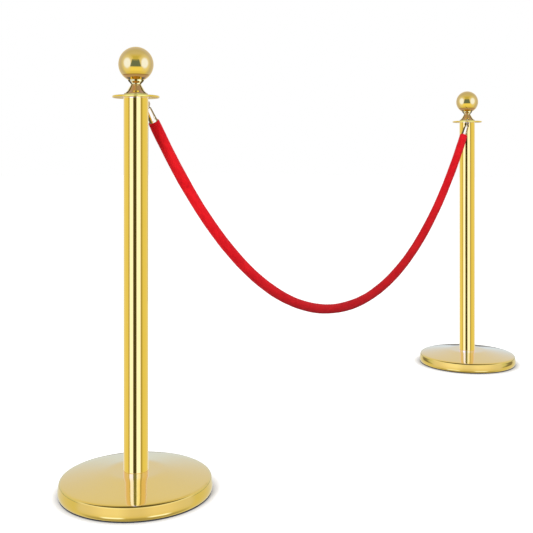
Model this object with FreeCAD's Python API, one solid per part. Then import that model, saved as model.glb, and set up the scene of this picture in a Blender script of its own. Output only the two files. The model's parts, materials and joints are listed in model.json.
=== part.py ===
import FreeCAD, Part
import math
import os

# Post-and-rope barrier: two free-standing ball-topped posts joined by one hanging
# rope with a snap hook at each end.  Millimetres, +Z up.  The origin is on the
# floor, midway between the two posts; +X runs from the left post to the right one.
# The set is unchanged by a half turn about Z, so the right-hand pieces are the
# left-hand pieces turned 180 degrees.

V = FreeCAD.Vector
ORIGIN = V(0, 0, 0)
X, Y, Z = V(1, 0, 0), V(0, 1, 0), V(0, 0, 1)
os.makedirs("parts", exist_ok=True)

POST_X = 734.5            # post axis to the middle of the set
CUT_PAST = 5.0            # how far a drill runs past each face

# ---------------------------------------------------------------- base sizes
COVER_T = 1.0             # sheet thickness of the spun cover
BASE_TOP_Z = 45.0         # flat plateau of the cover
COVER_UNDER_Z = BASE_TOP_Z - COVER_T
EDGE_RING_H = 3.0         # rubber ring under the base
EDGE_RING_RO = 155.3
EDGE_RING_RI = 146.0
EDGE_RING_CHAMFER = 0.6
WEIGHT_GAP = 0.3          # settling gap between the weight and the cover
WEIGHT_FOOT_R = 153.0
WEIGHT_CURVE_MIN_Z = 4.0  # the weight follows the cover down to here
RECESS_R = 30.0           # recess under the weight for washer and nut
RECESS_FLARE = 4.0        # how much wider the recess is at its mouth
RECESS_Z = 21.0
ROD_R = 5.98              # M12 base rod
ROD_Z0 = 5.0
ROD_LENGTH = 66.0
ROD_CHAMFER = 0.8
ROD_HOLE_R = 6.0
ROD_CLEAR_R = ROD_HOLE_R + 0.4
BASE_WASHER_R = 22.0
BASE_WASHER_H = 3.0
BASE_NUT_AF = 19.0        # across flats
BASE_NUT_H = 10.0
NUT_CONE_R0 = 10.2        # cone that trims the nut's lower corners
NUT_CONE_R1 = 16.0
NUT_CONE_H = 5.8

# Cover's outside (r, z), from the plateau's edge down to the skirt's foot
COVER_PROFILE = [
    (48.0, BASE_TOP_Z), (54.0, 44.85), (61.0, 44.3), (70.0, 43.15), (83.0, 41.3),
    (98.0, 39.2), (114.0, 36.9), (129.0, 34.7), (141.0, 32.75), (149.0, 31.2),
    (152.2, 30.25), (154.1, 28.9), (155.1, 27.0), (155.9, 23.0), (156.8, 18.0),
    (157.4, 14.0), (157.5, 10.5), (157.2, 7.5), (156.5, 5.0), (EDGE_RING_RO, EDGE_RING_H),
]

# ------------------------------------------------- tube and rope ring plate sizes
TUBE_R = 25.4             # 2 inch tube
TUBE_WALL = 1.5
TUBE_BORE_R = TUBE_R - TUBE_WALL
TUBE_CHAMFER = 0.5
TUBE_TOP_Z = 810.0
FOOT_PLUG_H = 30.0
TOP_PLUG_H = 25.0
RING_R = 48.5
RING_H = 4.0
RING_TOP_Z = TUBE_TOP_Z + RING_H
RING_BORE_R = 5.25
RING_HOLE_R = 7.0
RING_HOLE_PCR = 38.5      # pitch circle radius of the rope holes
RING_HOLE_COUNT = 4
RING_HOLE_AZ = 38.0       # azimuth of the hole the rope hangs from
RING_EDGE = 1.2           # rounding of the outer edge
RING_HOLE_EDGE = 0.5      # rounding of the rope holes

# -------------------------------------------------------------- finial sizes
STUD_R = 4.95             # M10 x 1.5 finial stud
STUD_HOLE_R = 5.0
STUD_ENGAGED = 8 * 1.5    # eight turns of thread in the top plug
STUD_TOP_Z = 856.0
STUD_CHAMFER = 0.7
STUD_CLEAR_R = 5.3        # bore of collar and neck
FINIAL_WASHER_R = 16.0
FINIAL_WASHER_H = 1.2
WASHER_POCKET_R = FINIAL_WASHER_R + 0.3
COLLAR_R = 25.5
COLLAR_H = 4.0
COLLAR_BEAD = 1.9         # radial depth of the collar's bead
COLLAR_STEPS = 8
NECK_Z = RING_TOP_Z + COLLAR_H
NECK_TOP_R = 15.8
NECK_OVERLAP = 0.05       # stock trimmed off by the ball's seat
BALL_R = 36.0
BALL_SEAT_R = BALL_R + 0.02
BALL_WALL = 1.2
BALL_INNER_R = BALL_R - BALL_WALL
BALL_Z = 879.0            # ball centre; the ball's top is the top of the post
BALL_BOTTOM_Z = BALL_Z - BALL_R
BALL_HOLE_R = 5.4
BALL_NUT_AF = 17.0
BALL_NUT_H = 11.5         # before the ball's inside trims it

# Neck's outside (r, z), from the collar up to the ball
NECK_PROFILE = [
    (24.9, NECK_Z), (24.6, 818.9), (23.2, 820.2), (20.9, 822.0), (18.6, 824.0),
    (17.2, 826.0), (15.9, 828.3), (14.5, 830.5), (13.3, 832.5), (12.2, 834.5),
    (11.1, 836.3), (10.7, 837.4), (11.0, 838.9), (12.3, 840.8), (14.2, 842.6),
    (15.6, 844.3), (16.1, 845.6), (16.0, 846.4),
]

# ------------------------------------------------------- rope, ferrule and hook
ROPE_R = 12.75
CORE_R = 9.0
CORE_END_R = 6.58         # core inside the ferrule
CORE_END_X = 34.5
CORE_END_OVERLAP = 0.5    # the thin end runs this far into the full core
ROPE_LOW_Z = 282.0        # lowest point of the rope's centre line
ROPE_SPANS = 60
# The x values below run down the ferrule's axis, from the middle of the rim that
# the hook hangs on.  y is up in the rope's plane and z is level across it.
HOOK_WIRE_R = 2.1
HOOK_BEND_R = 7.1
HOOK_BEND_X = 1.0
HOOK_WIRE_END_X = 14.0
NOSE_Y = -HOOK_BEND_R     # centre line of the nose and the gate
NOSE_X = 3.3
NOSE_LIP_X = 5.6
BLOCK_X0 = 12.8
BLOCK_X1 = 20.6
BLOCK_HALF_T = 4.0
SLOT_HALF_T = 2.15        # slot in the block for the gate
GATE_HALF_T = 2.05
GATE_GAP = 0.25           # between the gate and the nose
GATE_PIVOT_X = 17.2
GATE_PIN_R = 1.0
GATE_PIN_PROUD = 0.3
GATE_BORE_R = 1.05
SPRING_X = 15.3
SPRING_Y = -4.85          # lower end of the spring
SPRING_LENGTH = 6.1
SPRING_TURNS = 8
SPRING_R = 1.0            # coil radius on the wire's centre line
SPRING_WIRE_R = 0.2
SPRING_HOLE_R = 1.45
SPRING_HOLE_Y = -7.2
SPRING_HOLE_DEPTH = 9.0
SWIVEL_R = 3.05
SWIVEL_BORE_R = 3.10
FERRULE_X0 = 23.3
FERRULE_X1 = 56.0
FERRULE_RIM_R = 9.6       # widest radius of the ferrule
RIVET_X = 46.0
RIVET_R = 1.5
RIVET_HOLE_R = RIVET_R + 0.02
RIVET_HALF_L = 9.05
RIVET_HEAD_R = 3.0        # sphere each head is a cap of
RIVET_HEAD_INSET = 1.9    # sphere centre below the shank's end
RIVET_HEAD_SUNK = 0.15    # flat of the head below the shank's end


# ------------------------------------------------------------------- helpers
def polygon_face(points):
    return Part.Face(Part.makePolygon(points + [points[0]]))


def spin_polygon(points):
    """Revolves a closed polygon of (r, z) points about Z."""
    return polygon_face([V(r, 0, z) for r, z in points]).revolve(ORIGIN, Z, 360)


def straight(points):
    """Edges of an open polyline of (r, z) points."""
    return [Part.makeLine(V(a[0], 0, a[1]), V(b[0], 0, b[1]))
            for a, b in zip(points[:-1], points[1:])]


def curved(points):
    """One spline edge through (r, z) points, as a list."""
    curve = Part.BSplineCurve()
    curve.interpolate(Points=[V(r, 0, z) for r, z in points])
    return [curve.toShape()]


def spin_edges(edges):
    """Revolves a closed run of straight and curved edges about Z."""
    wire = Part.Wire(Part.__sortEdges__(edges))
    return Part.Face(wire).revolve(ORIGIN, Z, 360)


def spin_about_x(points):
    """Revolves a closed polygon of (x, r) points about X."""
    return polygon_face([V(x, r, 0) for x, r in points]).revolve(ORIGIN, X, 360)


def plate(points, half_t):
    """Plate of (x, y) outline, centred on z = 0."""
    return polygon_face([V(x, y, -half_t) for x, y in points]).extrude(V(0, 0, 2 * half_t))


def cylinder(radius, height, base=ORIGIN, direction=Z):
    return Part.makeCylinder(radius, height, base, direction)


def drill(radius, low, high, x=0, y=0):
    """Cutter along Z that clears everything between two heights."""
    return cylinder(radius, high - low + 2 * CUT_PAST, V(x, y, low - CUT_PAST))


def hexagon(across_flats, height, z):
    corner_r = across_flats / math.sqrt(3)
    angles = [math.radians(60 * i) for i in range(7)]
    points = [V(corner_r * math.cos(a), corner_r * math.sin(a), z) for a in angles]
    return Part.Face(Part.makePolygon(points)).extrude(V(0, 0, height))


def circles(shape):
    return [e for e in shape.Edges if isinstance(e.Curve, Part.Circle)]


def circles_of(shape, radius):
    return [e for e in circles(shape) if abs(e.Curve.Radius - radius) < 1e-6]


def chamfered_ends(shape, size):
    return shape.makeChamfer(size, circles(shape))


def rounded(shape, edges, radius):
    # Guards against a fillet that fails or comes out invalid: the edges stay sharp.
    try:
        result = shape.makeFillet(radius, edges)
        if result.isValid() and result.Solids:
            return result
    except Exception:
        pass
    return shape


def offset_inward(points, distance):
    """The outside run of (r, z) points, moved along its inward normal."""
    result = []
    for i, (r, z) in enumerate(points):
        before = points[max(i - 1, 0)]
        after = points[min(i + 1, len(points) - 1)]
        dr, dz = after[0] - before[0], after[1] - before[1]
        length = math.hypot(dr, dz)
        result.append((r + distance * dz / length, z - distance * dr / length))
    return result


def one(shape):
    """Merges split faces and unwraps a single solid."""
    merged = shape.removeSplitter()
    return merged.Solids[0] if len(merged.Solids) == 1 else merged


# ------------------------------------------------------------------ the base
def make_cover():
    inner = offset_inward(COVER_PROFILE, COVER_T)
    inner[0] = (inner[0][0], COVER_UNDER_Z)
    inner[-1] = (EDGE_RING_RO - COVER_T, EDGE_RING_H)
    hole_top = (ROD_CLEAR_R, BASE_TOP_Z)
    return one(spin_edges(
        straight([hole_top, COVER_PROFILE[0]])
        + curved(COVER_PROFILE)
        + straight([COVER_PROFILE[-1], inner[-1]])
        + curved(inner[::-1])
        + straight([inner[0], (ROD_CLEAR_R, COVER_UNDER_Z), hole_top])))


def make_weight():
    side = offset_inward(COVER_PROFILE, COVER_T + WEIGHT_GAP)
    side = [(r, z) for r, z in side if z > WEIGHT_CURVE_MIN_Z]
    side[0] = (side[0][0], COVER_UNDER_Z - WEIGHT_GAP)
    hole_top = (ROD_CLEAR_R, COVER_UNDER_Z)
    return one(spin_edges(
        straight([hole_top, (44.0, COVER_UNDER_Z), side[0]])
        + curved(side)
        + straight([
            side[-1], (WEIGHT_FOOT_R, EDGE_RING_H), (RECESS_R + RECESS_FLARE, EDGE_RING_H),
            (RECESS_R, RECESS_Z), (ROD_CLEAR_R, RECESS_Z), hole_top])))


def make_edge_ring():
    return spin_polygon([
        (EDGE_RING_RI, 0.0), (EDGE_RING_RO - EDGE_RING_CHAMFER, 0.0),
        (EDGE_RING_RO, EDGE_RING_CHAMFER), (EDGE_RING_RO, EDGE_RING_H),
        (EDGE_RING_RI, EDGE_RING_H)])


def make_base_rod():
    return chamfered_ends(cylinder(ROD_R, ROD_LENGTH, V(0, 0, ROD_Z0)), ROD_CHAMFER)


def make_base_washer():
    z0 = RECESS_Z - BASE_WASHER_H
    washer = cylinder(BASE_WASHER_R, BASE_WASHER_H, V(0, 0, z0))
    return washer.cut(drill(ROD_CLEAR_R, z0, RECESS_Z))


def make_base_nut():
    z0 = RECESS_Z - BASE_WASHER_H - BASE_NUT_H
    cone = Part.makeCone(NUT_CONE_R0, NUT_CONE_R1, NUT_CONE_H, V(0, 0, z0))
    above = cylinder(NUT_CONE_R1, BASE_NUT_H - NUT_CONE_H, V(0, 0, z0 + NUT_CONE_H))
    nut = hexagon(BASE_NUT_AF, BASE_NUT_H, z0).common(cone.fuse(above))
    return one(nut.cut(drill(ROD_HOLE_R, z0, z0 + BASE_NUT_H)))


# ---------------------------------------------------- the tube and the ring plate
def make_tube():
    c = TUBE_CHAMFER
    return spin_polygon([
        (TUBE_BORE_R, BASE_TOP_Z), (TUBE_R - c, BASE_TOP_Z), (TUBE_R, BASE_TOP_Z + c),
        (TUBE_R, TUBE_TOP_Z - c), (TUBE_R - c, TUBE_TOP_Z), (TUBE_BORE_R, TUBE_TOP_Z)])


def make_plug(hole_r, z0, z1):
    """Bored plug that fills the tube between two heights."""
    return spin_polygon([(hole_r, z0), (TUBE_BORE_R, z0), (TUBE_BORE_R, z1), (hole_r, z1)])


def make_rope_ring():
    ring = cylinder(RING_R, RING_H, V(0, 0, TUBE_TOP_Z))
    ring = ring.cut(drill(RING_BORE_R, TUBE_TOP_Z, RING_TOP_Z))
    for i in range(RING_HOLE_COUNT):
        angle = math.radians(RING_HOLE_AZ + 360 / RING_HOLE_COUNT * i)
        ring = ring.cut(drill(RING_HOLE_R, TUBE_TOP_Z, RING_TOP_Z,
                              RING_HOLE_PCR * math.cos(angle), RING_HOLE_PCR * math.sin(angle)))
    ring = rounded(ring, circles_of(ring, RING_R), RING_EDGE)
    return one(rounded(ring, circles_of(ring, RING_HOLE_R), RING_HOLE_EDGE))


# ---------------------------------------------------------------- the finial
def make_finial_washer():
    washer = cylinder(FINIAL_WASHER_R, FINIAL_WASHER_H, V(0, 0, RING_TOP_Z))
    return washer.cut(drill(STUD_HOLE_R, RING_TOP_Z, RING_TOP_Z + FINIAL_WASHER_H))


def make_collar():
    """Collar with a half-round bead, pocketed underneath for the washer."""
    half_h = COLLAR_H / 2
    bead = []
    for i in range(COLLAR_STEPS + 1):
        angle = math.radians(-90 + 180 * i / COLLAR_STEPS)
        bead.append((COLLAR_R - COLLAR_BEAD + COLLAR_BEAD * math.cos(angle),
                     RING_TOP_Z + half_h + half_h * math.sin(angle)))
    pocket_mouth = (WASHER_POCKET_R, RING_TOP_Z)
    pocket_top_z = RING_TOP_Z + FINIAL_WASHER_H
    return one(spin_edges(
        straight([pocket_mouth, bead[0]])
        + curved(bead)
        + straight([bead[-1], (STUD_CLEAR_R, NECK_Z), (STUD_CLEAR_R, pocket_top_z),
                    (WASHER_POCKET_R, pocket_top_z), pocket_mouth])))


def make_neck():
    seat_z = BALL_Z - math.sqrt(BALL_SEAT_R ** 2 - NECK_TOP_R ** 2)
    top_z = seat_z + NECK_OVERLAP
    hole_foot = (STUD_CLEAR_R, NECK_Z)
    neck = spin_edges(
        straight([hole_foot, NECK_PROFILE[0]])
        + curved(NECK_PROFILE)
        + straight([NECK_PROFILE[-1], (NECK_TOP_R, top_z), (STUD_CLEAR_R, top_z), hole_foot]))
    return one(neck.cut(Part.makeSphere(BALL_SEAT_R, V(0, 0, BALL_Z))))


def make_ball():
    centre = V(0, 0, BALL_Z)
    ball = Part.makeSphere(BALL_R, centre).cut(Part.makeSphere(BALL_INNER_R, centre))
    return one(ball.cut(drill(BALL_HOLE_R, BALL_BOTTOM_Z, BALL_BOTTOM_Z + 2 * CUT_PAST)))


def make_ball_nut():
    """Nut inside the ball, its underside shaped by the ball's inside."""
    z0 = BALL_BOTTOM_Z - 1
    nut = hexagon(BALL_NUT_AF, BALL_NUT_H, z0)
    nut = nut.common(Part.makeSphere(BALL_INNER_R - 0.01, V(0, 0, BALL_Z)))
    return one(nut.cut(drill(STUD_HOLE_R, z0, z0 + BALL_NUT_H)))


def make_stud():
    z0 = TUBE_TOP_Z - STUD_ENGAGED
    return chamfered_ends(cylinder(STUD_R, STUD_TOP_Z - z0, V(0, 0, z0)), STUD_CHAMFER)


# ---------------------------------------------------------- where the rope hangs
hole_angle = math.radians(RING_HOLE_AZ)
hole_offset = V(math.cos(hole_angle), math.sin(hole_angle), 0) * RING_HOLE_PCR
HOLE = V(-POST_X, 0, 0) + hole_offset
ROPE_DIR = V(-HOLE.x, -HOLE.y, 0).normalize()     # level, from left to right

# The left hook hangs on the rim between its hole and the plate's edge, along ROPE_DIR
hole_along = hole_offset.dot(ROPE_DIR)
hole_across = math.sqrt(RING_HOLE_PCR ** 2 - hole_along ** 2)
rim_inner = hole_along + RING_HOLE_R
rim_outer = math.sqrt(RING_R ** 2 - hole_across ** 2)
RIM = HOLE + ROPE_DIR * ((rim_inner + rim_outer) / 2 - hole_along)
RIM.z = TUBE_TOP_Z + RING_H / 2
RIM_LEVEL = math.hypot(RIM.x, RIM.y)              # level distance from the middle of the set


def bisect(low, high, is_below):
    for _ in range(80):
        middle = (low + high) / 2
        if is_below(middle):
            low = middle
        else:
            high = middle
    return (low + high) / 2


def rope_z(level, constant):
    """Height of the catenary at a level distance from its middle."""
    return ROPE_LOW_Z + constant * (math.cosh(level / constant) - 1)


def rope_start(constant):
    """Level distance at which the rope is one ferrule's reach from the rim."""
    return bisect(500.0, RIM_LEVEL - 5.0, lambda level: math.hypot(
        RIM_LEVEL - level, RIM.z - rope_z(level, constant)) > FERRULE_X1)


def tangent_above_rim(constant):
    start = rope_start(constant)
    slope = math.sinh(start / constant)
    return rope_z(start, constant) + slope * (RIM_LEVEL - start) > RIM.z


# A larger constant makes the curve flatter, so its tangent line passes lower
CATENARY = bisect(480.0, 600.0, tangent_above_rim)
START = rope_start(CATENARY)
ROPE_ANGLE = math.atan(math.sinh(START / CATENARY))

# Axes of the left hook's frame: down the ferrule, up in the rope's plane, across it
DOWN = ROPE_DIR * math.cos(ROPE_ANGLE) - Z * math.sin(ROPE_ANGLE)
UP = ROPE_DIR * math.sin(ROPE_ANGLE) + Z * math.cos(ROPE_ANGLE)
ACROSS = DOWN.cross(UP)
HOOK_FRAME = FreeCAD.Placement(FreeCAD.Matrix(
    DOWN.x, UP.x, ACROSS.x, RIM.x,
    DOWN.y, UP.y, ACROSS.y, RIM.y,
    DOWN.z, UP.z, ACROSS.z, RIM.z,
    0, 0, 0, 1))


def placed(shape):
    """Moves a shape from the hook's frame to the left end of the rope."""
    result = shape.copy()
    result.Placement = HOOK_FRAME.multiply(shape.Placement)
    return result


def turned(shape):
    result = shape.copy()
    result.rotate(ORIGIN, Z, 180)
    return result


# ---------------------------------------------------------- the hook and ferrule
def make_hook_wire():
    """Straight arm, half-round bend and nose; the nose's tip is a low lip."""
    start = V(HOOK_WIRE_END_X, HOOK_BEND_R, 0)
    bend_start = V(HOOK_BEND_X, HOOK_BEND_R, 0)
    bend_middle = V(HOOK_BEND_X - HOOK_BEND_R, 0, 0)
    bend_end = V(HOOK_BEND_X, NOSE_Y, 0)
    path = Part.Wire([
        Part.makeLine(start, bend_start),
        Part.Arc(bend_start, bend_middle, bend_end).toShape(),
        Part.makeLine(bend_end, V(NOSE_LIP_X, NOSE_Y, 0))])
    profile = Part.Wire(Part.makeCircle(HOOK_WIRE_R, start, X))
    wire = path.makePipeShell([profile], True, False)
    return wire.cut(Part.makeBox(10, 10, 10, V(NOSE_X, NOSE_Y - 0.2, -5)))


def make_hook_block():
    """Block slotted for the gate, with holes for its pin and spring."""
    block = plate([
        (BLOCK_X0, -9.2), (18.2, -9.2), (BLOCK_X1, -6.2), (BLOCK_X1, 6.2),
        (17.0, 9.2), (11.0, 9.2), (11.0, 5.4), (BLOCK_X0, 4.4)], BLOCK_HALF_T)
    corners = [e for e in block.Edges if abs(e.tangentAt(e.FirstParameter).z) > 0.9]
    block = rounded(block, corners, 0.8)
    outlines = [e for e in block.Edges if abs(e.BoundBox.ZMax - e.BoundBox.ZMin) < 1e-6]
    block = rounded(block, outlines, 0.6)
    block = block.cut(plate([
        (9.0, -0.2), (18.0, -4.7), (19.95, -4.7), (19.95, -11.0), (9.0, -11.0)], SLOT_HALF_T))
    block = block.cut(drill(GATE_PIN_R, -BLOCK_HALF_T, BLOCK_HALF_T, GATE_PIVOT_X, NOSE_Y))
    return block.cut(cylinder(
        SPRING_HOLE_R, SPRING_HOLE_DEPTH, V(SPRING_X, SPRING_HOLE_Y, 0), Y))


def make_hook_body():
    stem_x0 = BLOCK_X1 - 1.5
    # Shoulder, swivel neck and the head held in the ferrule, as (x, r)
    stem = spin_about_x([
        (stem_x0, 0), (stem_x0, 5.0), (BLOCK_X1, 5.6), (22.6, 5.6), (23.1, 5.1),
        (23.1, SWIVEL_R), (26.4, SWIVEL_R), (26.4, 4.8), (28.4, 4.8), (29.0, 4.2), (29.0, 0)])
    return one(make_hook_wire().fuse(make_hook_block()).fuse(stem))


def make_hook_gate():
    tip_x = NOSE_X + GATE_GAP
    lip_x = NOSE_LIP_X + GATE_GAP
    gate = plate([
        (tip_x, NOSE_Y + 0.05), (tip_x, NOSE_Y + 1.55), (NOSE_X + 0.7, NOSE_Y + 2.0),
        (14.0, NOSE_Y + 2.0), (19.1, NOSE_Y + 1.8), (19.1, NOSE_Y - 1.3),
        (18.4, NOSE_Y - 2.0), (lip_x, NOSE_Y - 2.0), (lip_x, NOSE_Y + 0.05)], GATE_HALF_T)
    long_edges = [e for e in gate.Edges
                  if abs(e.tangentAt(e.FirstParameter).x) > 0.95 and e.Length > 3]
    gate = rounded(gate, long_edges, 0.6)
    return one(gate.cut(drill(GATE_BORE_R, -GATE_HALF_T, GATE_HALF_T, GATE_PIVOT_X, NOSE_Y)))


def make_gate_pin():
    half_length = BLOCK_HALF_T + GATE_PIN_PROUD
    pin = cylinder(GATE_PIN_R, 2 * half_length, V(GATE_PIVOT_X, NOSE_Y, -half_length))
    return chamfered_ends(pin, 0.25)


def make_gate_spring():
    rise = SPRING_LENGTH - 2 * SPRING_WIRE_R
    helix = Part.makeHelix(rise / SPRING_TURNS, rise, SPRING_R)
    profile = Part.Wire(Part.makeCircle(SPRING_WIRE_R, V(SPRING_R, 0, 0), Y))
    spring = Part.Wire(helix).makePipeShell([profile], True, True)
    spring.Placement = FreeCAD.Placement(
        V(SPRING_X, SPRING_Y + SPRING_WIRE_R, 0), FreeCAD.Rotation(Z, Y))
    return spring


def make_ferrule():
    # (x, r): along the outside to the rope end, then back through the bore
    ferrule = spin_about_x([
        (FERRULE_X0, SWIVEL_BORE_R), (FERRULE_X0, 5.6), (FERRULE_X0 + 0.7, 6.7),
        (FERRULE_X0 + 2.0, 7.5), (FERRULE_X1 - 3.2, 9.1), (FERRULE_X1 - 3.0, FERRULE_RIM_R),
        (FERRULE_X1 - 0.4, FERRULE_RIM_R), (FERRULE_X1, 9.3), (FERRULE_X1, 6.6),
        (34.0, 6.6), (33.0, 5.2), (26.25, 5.2), (26.25, SWIVEL_BORE_R)])
    return one(ferrule.cut(drill(RIVET_HOLE_R, -FERRULE_RIM_R, FERRULE_RIM_R, RIVET_X)))


def make_rivet():
    rivet = cylinder(RIVET_R, 2 * RIVET_HALF_L, V(RIVET_X, 0, -RIVET_HALF_L))
    box_side, box_h = 12, 6
    flat_z = RIVET_HALF_L - RIVET_HEAD_SUNK
    for side, box_z in ((1, flat_z), (-1, -flat_z - box_h)):
        centre = V(RIVET_X, 0, side * (RIVET_HALF_L - RIVET_HEAD_INSET))
        box = Part.makeBox(box_side, box_side, box_h,
                           V(RIVET_X - box_side / 2, -box_side / 2, box_z))
        rivet = rivet.fuse(Part.makeSphere(RIVET_HEAD_R, centre).common(box))
    return one(rivet)


# ------------------------------------------------------------------ the rope
def rope_point(level):
    return V(ROPE_DIR.x * level, ROPE_DIR.y * level, rope_z(level, CATENARY))


def rope_sweep(radius):
    points = [rope_point(-START + 2 * START * i / ROPE_SPANS) for i in range(ROPE_SPANS + 1)]
    curve = Part.BSplineCurve()
    curve.interpolate(Points=points, InitialTangent=DOWN,
                      FinalTangent=V(DOWN.x, DOWN.y, -DOWN.z))
    profile = Part.Wire(Part.makeCircle(radius, rope_point(-START), DOWN))
    return Part.Wire(curve.toShape()).makePipeShell([profile], True, False)


def make_rope_core():
    """Core with a thinner, cross-drilled end in each ferrule."""
    length = FERRULE_X1 - CORE_END_X + CORE_END_OVERLAP
    end = placed(cylinder(CORE_END_R, length, V(CORE_END_X, 0, 0), X))
    end = end.cut(placed(drill(RIVET_HOLE_R, -FERRULE_RIM_R, FERRULE_RIM_R, RIVET_X)))
    return one(rope_sweep(CORE_R).fuse(end).fuse(turned(end)))


def make_rope_cover():
    return one(rope_sweep(ROPE_R).cut(rope_sweep(CORE_R)))


# -------------------------------------------------------------------- write out
def export(name, shape):
    shape.exportStep("parts/%s.step" % name)


def export_pair(name, left):
    export("left_" + name, left)
    export("right_" + name, turned(left))


# Built about the Z axis, then moved to the left post
POST_PIECES = {
    "base_cover": make_cover(),
    "base_weight": make_weight(),
    "base_edge_ring": make_edge_ring(),
    "base_rod": make_base_rod(),
    "base_washer": make_base_washer(),
    "base_nut": make_base_nut(),
    "tube": make_tube(),
    "tube_foot_plug": make_plug(ROD_HOLE_R, BASE_TOP_Z, BASE_TOP_Z + FOOT_PLUG_H),
    "tube_top_plug": make_plug(STUD_HOLE_R, TUBE_TOP_Z - TOP_PLUG_H, TUBE_TOP_Z),
    "rope_ring": make_rope_ring(),
    "finial_washer": make_finial_washer(),
    "finial_collar": make_collar(),
    "finial_neck": make_neck(),
    "finial_ball": make_ball(),
    "finial_ball_nut": make_ball_nut(),
    "finial_stud": make_stud(),
}
for name, shape in POST_PIECES.items():
    shape.translate(V(-POST_X, 0, 0))
    export_pair(name, shape)

# Built in the hook's frame
ROPE_END_PIECES = {
    "rope_ferrule": make_ferrule(),
    "ferrule_rivet": make_rivet(),
    "hook_body": make_hook_body(),
    "hook_gate": make_hook_gate(),
    "gate_pin": make_gate_pin(),
    "gate_spring": make_gate_spring(),
}
for name, shape in ROPE_END_PIECES.items():
    export_pair(name, placed(shape))

export("rope_core", make_rope_core())
export("rope_cover", make_rope_cover())
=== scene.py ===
import json
import math

import bpy
import bmesh
import numpy as np
from mathutils import Matrix, Vector, noise

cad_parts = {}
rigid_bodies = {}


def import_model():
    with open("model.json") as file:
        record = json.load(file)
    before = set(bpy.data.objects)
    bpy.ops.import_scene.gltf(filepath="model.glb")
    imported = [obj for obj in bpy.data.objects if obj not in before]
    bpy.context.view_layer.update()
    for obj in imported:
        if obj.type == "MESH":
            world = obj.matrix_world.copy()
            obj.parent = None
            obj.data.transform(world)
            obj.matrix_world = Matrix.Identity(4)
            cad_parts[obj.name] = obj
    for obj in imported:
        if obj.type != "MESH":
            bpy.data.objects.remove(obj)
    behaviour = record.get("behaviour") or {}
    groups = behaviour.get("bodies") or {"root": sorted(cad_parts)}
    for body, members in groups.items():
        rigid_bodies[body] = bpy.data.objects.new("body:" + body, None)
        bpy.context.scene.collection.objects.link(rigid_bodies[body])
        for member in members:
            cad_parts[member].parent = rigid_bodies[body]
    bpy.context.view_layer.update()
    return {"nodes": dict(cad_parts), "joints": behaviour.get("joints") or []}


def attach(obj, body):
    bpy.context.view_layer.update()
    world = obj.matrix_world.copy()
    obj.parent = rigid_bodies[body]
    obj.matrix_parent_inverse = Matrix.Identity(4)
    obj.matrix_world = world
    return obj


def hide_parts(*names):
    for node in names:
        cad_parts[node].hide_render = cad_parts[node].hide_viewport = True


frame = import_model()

MM = 0.001

# ------------------------------------------------------------------ frame data
JOINTS = {j["name"]: j for j in frame["joints"]}
E = Vector(JOINTS["rope_swing"]["axis"]).normalized()          # level direction of the rope's plane
RIM = Vector(JOINTS["rope_swing"]["pos_m"])                    # middle of the rim the left hook hangs on
U = Vector(JOINTS["left_hook_swivel"]["axis"]).normalized()    # down the left hook and ferrule
N = -Vector(JOINTS["left_gate_open"]["axis"]).normalized()     # across the rope's plane
W = N.cross(U).normalized()
POST_X = 0.7345
CAT_A, CAT_Z0 = 0.52469, 0.282
S0 = (RIM + U * 0.056).to_2d().length                          # level distance from the middle to a rope end
HALF_TURN = Matrix.Rotation(math.pi, 4, "Z")


# ------------------------------------------------------------------ mesh tools
def new_object(name, verts, faces, matrix=None):
    me = bpy.data.meshes.new(name)
    me.from_pydata([tuple(v) for v in verts], [], [tuple(f) for f in faces])
    me.validate(verbose=False)
    me.update()
    ob = bpy.data.objects.new(name, me)
    bpy.context.scene.collection.objects.link(ob)
    if matrix is not None:
        ob.matrix_world = matrix
    return ob


def finish_normals(ob):
    bm = bmesh.new()
    bm.from_mesh(ob.data)
    bmesh.ops.remove_doubles(bm, verts=bm.verts, dist=1e-7)
    bmesh.ops.recalc_face_normals(bm, faces=bm.faces)
    bm.to_mesh(ob.data)
    bm.free()
    ob.data.update()


def shade(ob, angle=32.0):
    """Smooth shading, with edges sharper than the angle kept sharp."""
    me = ob.data
    me.polygons.foreach_set("use_smooth", [True] * len(me.polygons))
    me.set_sharp_from_angle(angle=math.radians(angle))
    me.update()


def weighted(ob):
    m = ob.modifiers.new("weighted", "WEIGHTED_NORMAL")
    m.keep_sharp = True
    m.weight = 60


def refine(points, step):
    """Centripetal Catmull-Rom through the points, sampled about every step."""
    p = [np.array(q, float) for q in points]
    p = [2 * p[0] - p[1]] + p + [2 * p[-1] - p[-2]]
    out = []
    for i in range(1, len(p) - 2):
        p0, p1, p2, p3 = p[i - 1], p[i], p[i + 1], p[i + 2]
        t0 = 0.0
        t1 = t0 + max(np.linalg.norm(p1 - p0), 1e-9) ** 0.5
        t2 = t1 + max(np.linalg.norm(p2 - p1), 1e-9) ** 0.5
        t3 = t2 + max(np.linalg.norm(p3 - p2), 1e-9) ** 0.5
        n = max(1, int(math.ceil(np.linalg.norm(p2 - p1) / step)))
        for k in range(n):
            t = t1 + (t2 - t1) * k / n
            a1 = (t1 - t) / (t1 - t0) * p0 + (t - t0) / (t1 - t0) * p1
            a2 = (t2 - t) / (t2 - t1) * p1 + (t - t1) / (t2 - t1) * p2
            a3 = (t3 - t) / (t3 - t2) * p2 + (t - t2) / (t3 - t2) * p3
            b1 = (t2 - t) / (t2 - t0) * a1 + (t - t0) / (t2 - t0) * a2
            b2 = (t3 - t) / (t3 - t1) * a2 + (t - t1) / (t3 - t1) * a3
            out.append(tuple((t2 - t) / (t2 - t1) * b1 + (t - t1) / (t2 - t1) * b2))
    out.append(tuple(p[-2]))
    return out


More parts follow.
